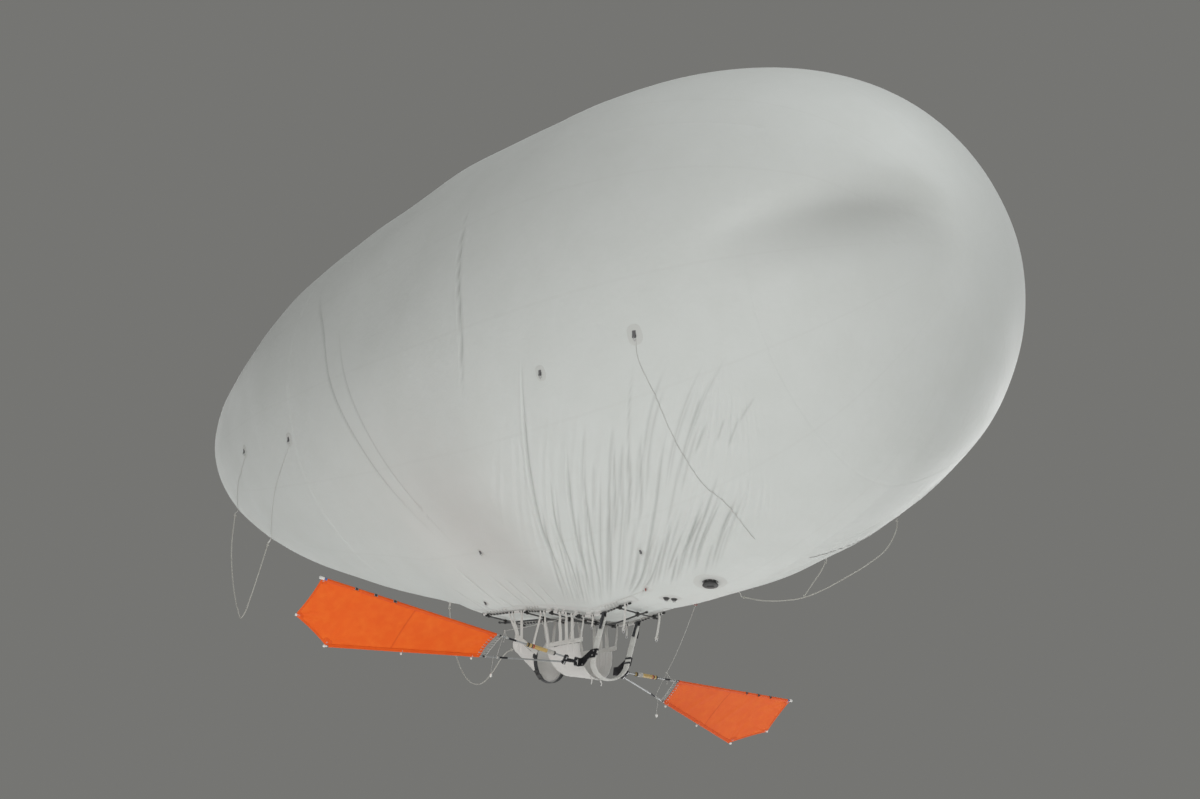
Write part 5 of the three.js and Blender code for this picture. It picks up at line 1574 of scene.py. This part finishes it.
for side, word in ((1, "left"), (-1, "right")):
    wing_body, fork_body, swivel_body = f"wing_{word}", f"fork_{word}", f"swivel_{word}"
    up_n = direction(side, (0, 0, 1))

    # cloth
    n, k_ = 150, 56
    t = np.linspace(0, 1, n)
    U = np.linspace(0, 1, k_)
    TT_, UU = np.meshgrid(t, U, indexing="ij")
    flat_w = np.linalg.norm(sail_at(t, 0) - sail_at(t, 1), axis=1)
    u0 = (0.0085 / flat_w)[:, None]
    low_end = np.where(t < 0.79, 0.0085 / flat_w, 0.0)[:, None]
    UU = u0 + (1 - u0 - low_end) * UU
    L = sail_at(TT_, UU)
    P = place(side, L)
    s = Shape()
    s.grid(P, uv=np.stack([L[..., 0], L[..., 1]], -1), flip=side > 0)
    sail = s.make(f"sail_cloth_{word}", SAIL_M, "sail_cloth", wing_body)
    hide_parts(f"sail_{word}")

    # hems, seams and corner patches, on both faces
    s = Shape()

    def strip_on(ts, us, half, lift=0.0009, mat=0, along_t=True):
        """A band that follows the cloth along (ts, us)."""
        ts, us = np.asarray(ts, float), np.asarray(us, float)
        base_ = sail_at(ts, us)
        T_ = np.gradient(base_, axis=0)
        T_ /= np.linalg.norm(T_, axis=1, keepdims=True)
        S_ = np.cross(T_, (0, 0, 1.0))
        for face in (1, -1):
            rows_ = []
            for i in range(len(ts)):
                row = [base_[i] + S_[i] * half * v + np.array([0, 0, face * lift * (1 if abs(v) < 0.99 else 0.15)]) for v in (-1, -0.8, 0, 0.8, 1)]
                rows_.append(row)
            s.grid(place(side, rows_), mat=mat, flip=(face * side) > 0)

    q = np.linspace(0.02, 0.98, 40)
    strip_on(np.full(40, 0.006), q, 0.008)
    strip_on(np.full(40, 0.994), q, 0.008)
    strip_on(np.linspace(0.795, 0.995, 24), np.full(24, 0.988), 0.008)
    strip_on(np.full(40, 0.47), np.linspace(0.03, 0.97, 40), 0.006, 0.0006)
    hems = s.make(f"sail_hems_{word}", SAIL_HEM, "sail_cloth", wing_body)

    s = Shape()
    for (tt, uu, da, db) in ((0.012, 0.06, 0.075, 0.14), (0.012, 0.94, 0.075, 0.14), (0.985, 0.06, 0.05, 0.14), (0.985, 0.95, 0.05, 0.13), (0.795, 0.95, 0.05, 0.12)):
        for face in (1, -1):
            rows_ = []
            for i in range(7):
                f = (i + 1e-3) / 6
                row = []
                for j in range(28):
                    ang = 2 * PI * j / 28
                    row.append((min(0.997, max(0.003, tt + da * 0.5 * f * math.cos(ang))), min(0.985, max(0.02, uu + db * 0.5 * f * math.sin(ang)))))
                G = np.array(row)
                rows_.append(sail_at(G[:, 0], G[:, 1]) + np.array([0, 0, face * (0.0013 if i < 6 else 0.0003)]))
            s.grid(place(side, rows_), wrap=True)
    s.make(f"sail_corners_{word}", SAIL_HEM, "sail_cloth", wing_body)

    # sleeves on the spars, with three openings in the leading one
    s, bands = Shape(), Shape()

    def sleeve(s0, s1, sign):
        m_ = max(8, int((s1 - s0) / 0.012))
        rows_ = []
        for i in range(m_):
            v = i / (m_ - 1)
            q_ = s0 + (s1 - s0) * v
            c0 = np.array(spar_at(q_, sign))
            puck = 1 + 0.05 * math.sin(q_ * 92) + 0.04 * math.sin(q_ * 157 + sign)
            row = []
            for j in range(20):
                a = 2 * PI * j / 20
                r_ = 0.0086 * puck
                x_, z_ = math.cos(a), math.sin(a)
                tail_ = max(0.0, -x_ * sign) ** 3 * 0.011
                row.append(c0 + np.array([(x_ * r_ - sign * tail_), 0, z_ * r_ * (1 - 0.75 * max(0.0, -x_ * sign) ** 2)]))
            rows_.append(row)
        R = place(side, rows_)
        s.grid(R, wrap=True)
        for r_ in (rows_[0], rows_[-1]):
            s.tube(place(side, r_ + [r_[0]]), 0.0011, 6, caps=False)

    a0, a1 = ROOT_A[1] + 0.006, TIP_A[1] - 0.020
    cuts = [a0 + (a1 - a0) * v for v in (0.60, 0.71, 0.82)]
    last = a0
    for c0 in cuts:
        sleeve(last, c0 - 0.016, 1)
        last = c0 + 0.016
    sleeve(last, a1, 1)
    b0_, b1_ = ROOT_B[1] + 0.006, MID_T[1] - 0.012
    sleeve(b0_, b1_, -1)
    s.make(f"sail_sleeves_{word}", SAIL_HEM, "sail_cloth", wing_body)
    for c0 in cuts:
        o_ = np.array(spar_at(c0, 1))
        bands.sweep(place(side, [o_ + [0, -0.009, 0], o_ + [0, 0, 0], o_ + [0, 0.009, 0]]), [(0.0076 * math.cos(2 * PI * j / 18), 0.0076 * math.sin(2 * PI * j / 18)) for j in range(18)])
        bands.box(place(side, o_ + [0.0, 0, 0.0085]), (0.012, 0.014, 0.003), [direction(side, (1, 0, 0)), direction(side, (0, 1, 0)), direction(side, (0, 0, 1))])
    for sgn, q_ in ((1, ROOT_A[1] - 0.030), (-1, ROOT_B[1] - 0.030), (-1, MID_T[1] - 0.3)):
        o_ = np.array(spar_at(q_, sgn))
        bands.sweep(place(side, [o_ + [0, -0.011, 0], o_, o_ + [0, 0.011, 0]]), [(0.0073 * math.cos(2 * PI * j / 18), 0.0073 * math.sin(2 * PI * j / 18)) for j in range(18)])
    bands.make(f"spar_bands_{word}", BLACK_WEB, "black_strap", wing_body)

    # spars, joints in them, end balls
    for sgn, name, s0, s1 in ((1, "lead_spar", 0.101, TIP_A[1] + 0.008), (-1, "trail_spar", 0.101, MID_T[1] + 0.008)):
        s = Shape()
        line = [spar_at(v, sgn) for v in np.linspace(s0, s1, 40)]
        s.tube(place(side, line), 0.006, 20)
        for v in (0.56, 1.28) if sgn > 0 else (0.56,):
            if v > 0.7:
                continue
            o_ = np.array(spar_at(v, sgn))
            dd = np.array([sgn * TAN, 1, 0]) / math.hypot(1, TAN)
            s.lathe(place(side, o_ - dd * 0.032), direction(side, dd), [(0.0060, 0), (0.0071, 0.001), (0.0073, 0.004), (0.0073, 0.060), (0.0071, 0.063), (0.0060, 0.064)], 20, 1)
        o = s.make(f"{name}_tube_{word}", [SPAR, METAL], "spar_tube", wing_body, angle=50)
        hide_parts(f"{name}_{word}")
    s = Shape()
    dd = np.array([-TAN, 1, 0]) / math.hypot(1, TAN)
    o_ = np.array(spar_at(MID_T[1] + 0.008, -1))
    s.lathe(place(side, o_ - dd * 0.010), direction(side, dd), [(0.0062, 0), (0.0078, 0.001), (0.0080, 0.010), (0.0105, 0.014), (0.0115, 0.020), (0.0098, 0.026), (0.0055, 0.029), (0.0001, 0.030)], 20)
    tb = sail_at(0.997, 0.985)
    ring_at = place(side, tb)
    s.lathe(ring_at - up_n * 0.010, up_n, [(0.0001, 0), (0.006, 0.001), (0.0095, 0.005), (0.0105, 0.010), (0.0095, 0.015), (0.006, 0.019), (0.0001, 0.020)], 18)
    # toggles on short loops along the rear spar
    for q_ in (1.33, 0.800):
        o_ = np.array(spar_at(q_, -1)) + np.array([-0.0125, 0, 0])
        pp_ = place(side, o_ + [-0.008, 0, 0])
        s.lathe(pp_ + np.array([0, 0, 0.006]), (0, 0, -1), [(0.0001, 0), (0.005, 0.0005), (0.0078, 0.004), (0.0085, 0.009), (0.007, 0.015), (0.0045, 0.018), (0.0001, 0.019)], 16)
    s.make(f"wing_toggles_{word}", WHITE, "tip_cap", wing_body)
    s = Shape()
    for q_ in (1.33, 0.800):
        o_ = np.array(spar_at(q_, -1))
        ring(s, place(side, o_), direction(side, (-TAN, 1, 0)), 0.0098, 0.0013, 0, 20, 6)
        ring(s, place(side, o_ + [-0.010, 0, 0]), direction(side, (0, 1, 0)), 0.006, 0.0011, 0, 14, 6)
    # a pull cord with its toggle, hanging below the root of the rear spar
    o_ = place(side, np.array(spar_at(0.640, -1)))
    cordp = catmull([o_ + [0, 0, -0.008], o_ + [0.004, side * 0.003, -0.045], o_ + [-0.003, side * 0.004, -0.090], o_ + [0.0, side * 0.004, -0.128]], 26)
    s.tube(cordp, 0.0013, 6)
    ring(s, o_, direction(side, (-TAN, 1, 0)), 0.0085, 0.0014, 0, 18, 6)
    knot(s, cordp[-1], 0.0042)
    s.make(f"wing_loops_{word}", LACE, "rope", wing_body)
    s = Shape()
    s.lathe(cordp[-1] + [0, 0, 0.004], (0, 0, -1), [(0.0001, 0), (0.007, 0.001), (0.0095, 0.006), (0.0100, 0.012), (0.0080, 0.022), (0.0050, 0.027), (0.0001, 0.028)], 18)
    s.make(f"pull_toggle_{word}", WHITE, "tip_cap", wing_body)

    # root lacing: eyelets along the root edge, cord to the spars and across
    s, e_ = Shape(), Shape()
    for uu in np.linspace(0.06, 0.94, 9):
        L0 = sail_at(0.016, uu)
        for face in (1, -1):
            c0 = place(side, L0 + [0, 0, face * 0.0012])
            ring(e_, c0, up_n, 0.0052, 0.0012, 0, 16, 6)
    for tt, uu in ((0.985, 0.96), (0.797, 0.955), (0.985, 0.05)):
        L0 = sail_at(tt, uu)
        for face in (1, -1):
            ring(e_, place(side, L0 + [0, 0, face * 0.0016]), up_n, 0.0060, 0.0013, 0, 16, 6)
    e_.make(f"sail_eyelets_{word}", STEEL, "black_metal", wing_body)
    # a cord across between the spars, just inside the root edge, and loops from it through the eyelets
    A0, B0 = np.array(spar_at(0.652, 1)), np.array(spar_at(0.700, -1))
    bar = [A0 + (B0 - A0) * v + np.array([0, 0.004 * math.sin(PI * v), 0]) for v in np.linspace(0.03, 0.97, 24)]
    s.tube(place(side, bar), 0.0019, 8)
    for p_, sgn in ((A0, 1), (B0, -1)):
        for dy in (-0.004, 0, 0.004):
            ring(s, place(side, p_ + [0, dy, 0]), direction(side, (sgn * TAN, 1, 0)), 0.0079, 0.0016, 0, 18, 6)
        knot(s, place(side, p_ + (B0 - A0) * 0.05 * (1 if sgn > 0 else -1)), 0.0050)
    zig = []
    us = np.linspace(0.06, 0.94, 9)
    for i, uu in enumerate(us):
        eye = sail_at(0.016, uu)
        on = A0 + (B0 - A0) * (0.03 + 0.94 * (uu + 0.045))
        zig += [eye + [0, 0, 0.0022], eye + [0, 0, -0.0022] if i % 2 else eye + [0, 0.0005, -0.0010]]
        if i < len(us) - 1:
            zig += [on + [0, -0.0030, 0.0006]]
    s.tube(place(side, catmull(zig, 9 * len(zig))), 0.0012, 6)
    s.make(f"root_lacing_{word}", LACE, "rope", wing_body)

    # grip trim: rubber rings, a red band and a cord whipping
    s = Shape()
    dd = np.array([TAN, 1, 0]) / math.hypot(1, TAN)
    for q_, h_, mt in ((0.190, 0.014, 0), (0.416, 0.014, 0), (0.372, 0.012, 1), (0.386, 0.010, 0)):
        o_ = np.array(spar_at(q_, 1))
        s.lathe(place(side, o_), direction(side, dd), [(0.0146, 0), (0.0159, 0.001), (0.0162, h_ * 0.5), (0.0159, h_ - 0.001), (0.0146, h_)], 28, mt)
    for q_ in np.arange(0.205, 0.262, 0.0042):
        ring(s, place(side, np.array(spar_at(q_, 1))), direction(side, dd), 0.0151, 0.0019, 2, 30, 7)
    s.make(f"grip_trim_{word}", [RUBBER, RED_TAPE, LACE], "grip_wood", wing_body)
    s = Shape()
    o_ = np.array(spar_at(TIP_A[1] - 0.040, 1))
    s.lathe(place(side, o_), direction(side, dd), [(0.0062, 0), (0.0092, 0.001), (0.0094, 0.010), (0.0092, 0.019), (0.0062, 0.020)], 22, 0)
    s.make(f"tip_band_{word}", BLUE, "tip_cap", wing_body)

    # bolts of the knuckle, pins of fork and swivel
    s = Shape()
    for cx in (-0.030, -0.016, 0.016, 0.030):
        for face in (1, -1):
            bolt(s, place(side, (cx, 0.088, face * 0.011)), direction(side, (0, 0, face)), 0.0042, 0.0034)
    for sgn in (1, -1):
        o_ = np.array(spar_at(0.101, sgn))
        s.lathe(place(side, o_ - np.array([0, 0.001, 0])), direction(side, (sgn * TAN, 1, 0)), [(0.0062, 0), (0.0090, 0.0005), (0.0090, 0.006), (0.0078, 0.009), (0.0062, 0.010)], 20, 1)
    s.make(f"knuckle_bolts_{word}", [STEEL, METAL], "black_metal", wing_body, angle=40)
    s = Shape()
    for sgn in (1, -1):
        s.lathe(place(side, (sgn * 0.0162, 0, 0), True, False), direction(side, (sgn, 0, 0), True, False), [(0.0042, 0), (0.0078, 0), (0.0078, 0.0010), (0.0042, 0.0010)], 24)
    s.lathe(place(side, (0, 0.0415, 0), True, False), direction(side, (0, 1, 0), True, False), [(0.0052, -0.0008), (0.0090, -0.0008), (0.0090, 0.0003), (0.0052, 0.0003)], 24)
    s.make(f"fork_washers_{word}", STEEL, "black_metal", fork_body, angle=40)
    s = Shape()
    for sgn in (1, -1):
        s.lathe(place(side, (sgn * 0.0190, 0, 0), True, False), direction(side, (sgn, 0, 0), True, False), [(0.0041, 0), (0.0060, 0.0002), (0.0064, 0.0014), (0.0060, 0.0028), (0.0001, 0.0032)], 20)
        s.lathe(place(side, (0, 0, sgn * 0.0328), True, False), (0, 0, sgn), [(0.0041, 0), (0.0064, 0.0002), (0.0068, 0.0014), (0.0062, 0.0030), (0.0001, 0.0034)], 20)
    s.make(f"swivel_pins_{word}", STEEL, "black_metal", swivel_body, angle=40)
    s = Shape()
    px, pz = PIVOT[0], PIVOT[2]
    face_y = side * (0.180 + 0.0002)
    for dx, dz in ((0.145, 0.040), (0.158, 0.072), (0.100, 0.006), (0.040, -0.020)):
        bolt(s, (px + dx, face_y, pz + dz), (0, side, 0), 0.0046, 0.0036)
    for sgn in (1, -1):
        s.lathe((px, side * 0.213, pz + sgn * 0.0306), (0, 0, sgn), [(0.0045, 0), (0.0085, 0), (0.0085, 0.0009), (0.0045, 0.0009)], 24)
    s.make(f"bracket_bolts_{word}", STEEL, "black_metal", angle=40)
    s = Shape()  # two clamp straps round the hoop
    for dz in (0.046, 0.080):
        z = pz + dz
        x_c = hoop_x(z)
        pts = []
        for a in np.linspace(0, 2 * PI, 49):
            cx, cy = math.cos(a), math.sin(a)
            pts.append((x_c + math.copysign(abs(cx) ** 0.45, cx) * 0.0325, side * (0.165 + math.copysign(abs(cy) ** 0.6, cy) * 0.0100 + (0.0012 if cy > 0 else 0)), z + 0.0 * cx))
        s.ribbon(pts[:-1] + [pts[0]], 0.014, 0.0013, (0, 0, 1))
    s.make(f"bracket_straps_{word}", BLACK_WEB, "black_strap")

    # the cord the wing hangs on: from the belly to a bridle on both spars
    top_, n_ = skin_point(1.24, side * 0.24, 0.004)
    apex = place(side, np.array([0.012, 0.610, 0.0])) + np.array([0.012, 0, 0.115])
    sag = lambda v: np.array([0, 0, -0.035 * 4 * v * (1 - v)])
    line = lambda v0, v1, c: [top_ + (apex - top_) * v + sag(v) for v in np.linspace(v0, v1, c)]
    s = Shape()
    s.tube(line(0, 0.55, 34), 0.0017, 7)
    ring(s, top_ + (apex - top_) * 0.012, (apex - top_), 0.0095, 0.0026, 1, 20, 7)
    knot(s, top_ + (apex - top_) * 0.03, 0.0056, apex - top_)
    o = s.make(f"wing_line_upper_{word}", [LACE, RED_CORD], "rope", body=None)
    list(line(0.02, 0.55, 2)[0])
    list(line(0, 0.55, 2)[1])
    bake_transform(o)
    s = Shape()
    s.tube(line(0.55, 0.80, 20), 0.0017, 7)
    o = s.make(f"wing_line_middle_{word}", LACE, "rope", body=None)
    list(line(0.55, 0.80, 2)[0])
    list(line(0.55, 0.80, 2)[1])
    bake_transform(o)
    s = Shape()
    s.tube(line(0.80, 1.0, 18), 0.0017, 7)
    o = s.make(f"wing_line_lower_{word}", LACE, "rope", body=None)
    list(line(0.80, 1.0, 2)[0])
    list(line(0.80, 1.0, 2)[1])
    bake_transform(o)
    s = Shape()
    knot(s, apex, 0.0060, apex - top_)
    for sgn in (1, -1):
        foot_ = np.array(spar_at(0.610, sgn))
        end_ = place(side, foot_ + [0, 0, 0.007])
        mid_ = (apex + end_) / 2 + [0, 0, 0.004]
        s.tube(catmull([apex, mid_, end_], 22), 0.0016, 7)
        for dy in (-0.0036, 0, 0.0036):
            ring(s, place(side, foot_ + [0, dy, 0]), direction(side, (sgn * TAN, 1, 0)), 0.0078, 0.0017, 0, 18, 6)
    tail_ = catmull([apex, apex + [0.006, side * 0.004, -0.020], apex + [0.010, side * 0.002, -0.050], apex + [0.006, side * 0.006, -0.085]], 20)
    s.tube(tail_, 0.0015, 6)
    knot(s, tail_[-1], 0.0040)
    s.make(f"wing_bridle_{word}", LACE, "rope", wing_body)
    p_ = Shape()
    disc_on_skin(p_, 1.24, -math.asin(side * 0.24 / float(radius(1.24))), 0.036, 0.036, 0.0030, 0)
    p_.make(f"wing_line_patch_{word}", PATCH, "film")


# ------------------------------------------------------------- floor and light
def plane(name, centre, size, material):
    s = Shape()
    h = size / 2
    x, y, z = centre
    s.grid([[(x - h, y - h, z), (x + h, y - h, z)], [(x - h, y + h, z), (x + h, y + h, z)]])
    o = s.make(name, material, "film", body=None)
    del o["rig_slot"]
    return o


floor = Nodes("pale_floor")
floor.link(floor.mix(floor.math("MULTIPLY", floor.noise(floor.mapping("Object"), 0.6, 4), 0.5), (0.78, 0.78, 0.77), (0.73, 0.73, 0.72)), floor.b.inputs["Base Color"])
floor.done(roughness=0.8)
# seen from below the floor is clear, so that the belly shows
under, clear = floor.node("ShaderNodeMixShader"), floor.node("ShaderNodeBsdfTransparent")
floor.link(floor.node("ShaderNodeNewGeometry").outputs["Backfacing"], under.inputs[0])
floor.link(floor.b.outputs[0], under.inputs[1])
floor.link(clear.outputs[0], under.inputs[2])
floor.link(under.outputs[0], floor.out.inputs[0])
plane("floor", (0, 0, EYE.z - 0.12), 600.0, floor.mat)

world = bpy.data.worlds.new("studio")
bpy.context.scene.world = world
bpy.context.scene.view_settings.view_transform = "Standard"
world.use_nodes = True
wt = world.node_tree
soft = wt.nodes["Background"]
soft.inputs[0].default_value = (0.225, 0.225, 0.217, 1)
wall = wt.nodes.new("ShaderNodeBackground")  # the studio wall, as dark as the far floor
wall.inputs[0].default_value = (0.1783, 0.1783, 0.1697, 1)
pick = wt.nodes.new("ShaderNodeMixShader")
wt.links.new(wt.nodes.new("ShaderNodeLightPath").outputs["Is Camera Ray"], pick.inputs[0])
wt.links.new(soft.outputs[0], pick.inputs[1])
wt.links.new(wall.outputs[0], pick.inputs[2])
wt.links.new(pick.outputs[0], wt.nodes["World Output"].inputs[0])


def area(name, place, aim, size, power, colour=(1, 1, 1)):
    d = bpy.data.lights.new(name, "AREA")
    d.shape, d.size, d.size_y, d.energy, d.color = "RECTANGLE", size[0], size[1], power, colour
    o = bpy.data.objects.new(name, d)
    bpy.context.scene.collection.objects.link(o)
    o.location = place
    o.rotation_euler = (Vector(aim) - Vector(place)).to_track_quat("-Z", "Y").to_euler()
    o.visible_camera = False
    return o


area("key", (9.3, -11.0, -1.0), (0.3, 0, -0.4), (7, 6), 480, (1.0, 0.995, 0.98))
area("front", (13.6, 5, 0), (0.3, 0, -0.6), (6, 6), 140)
area("front_high", (8.5, 3, 11), (0.3, 0, -0.3), (8, 8), 440, (0.98, 1.0, 1.0))
area("top", (2.5, -2, 14), (0, 0, 0), (10, 8), 150, (0.98, 1.0, 1.0))
area("tail", (-14.5, 2, 1), (-0.5, 0, -0.3), (8, 7), 190, (0.98, 1.0, 0.99))
area("low_rear", (-1.8, -3.2, -5.7), (-1.8, -3.2, 0), (7, 5), 85, (1.0, 1.0, 0.985))
area("low_front", (3.0, -2.5, -5.7), (3.0, -2.5, 0), (6, 6), 28, (1.0, 1.0, 0.985))
area("low_left", (0, 5.5, -5.7), (0, 5.5, 0), (9, 5), 165, (1.0, 1.0, 0.985))
area("far_side", (-1, 14.0, 0.5), (0, 0, -0.3), (10, 6), 430)

# ----------------------------------------------------------------------- close
for o in bpy.data.objects:
    if o.type == "MESH" and "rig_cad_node" in o:
        for key, material in CAD_MATERIALS.items():
            if o["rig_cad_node"].startswith(key):
                o.data.materials.clear()
                o.data.materials.append(material)
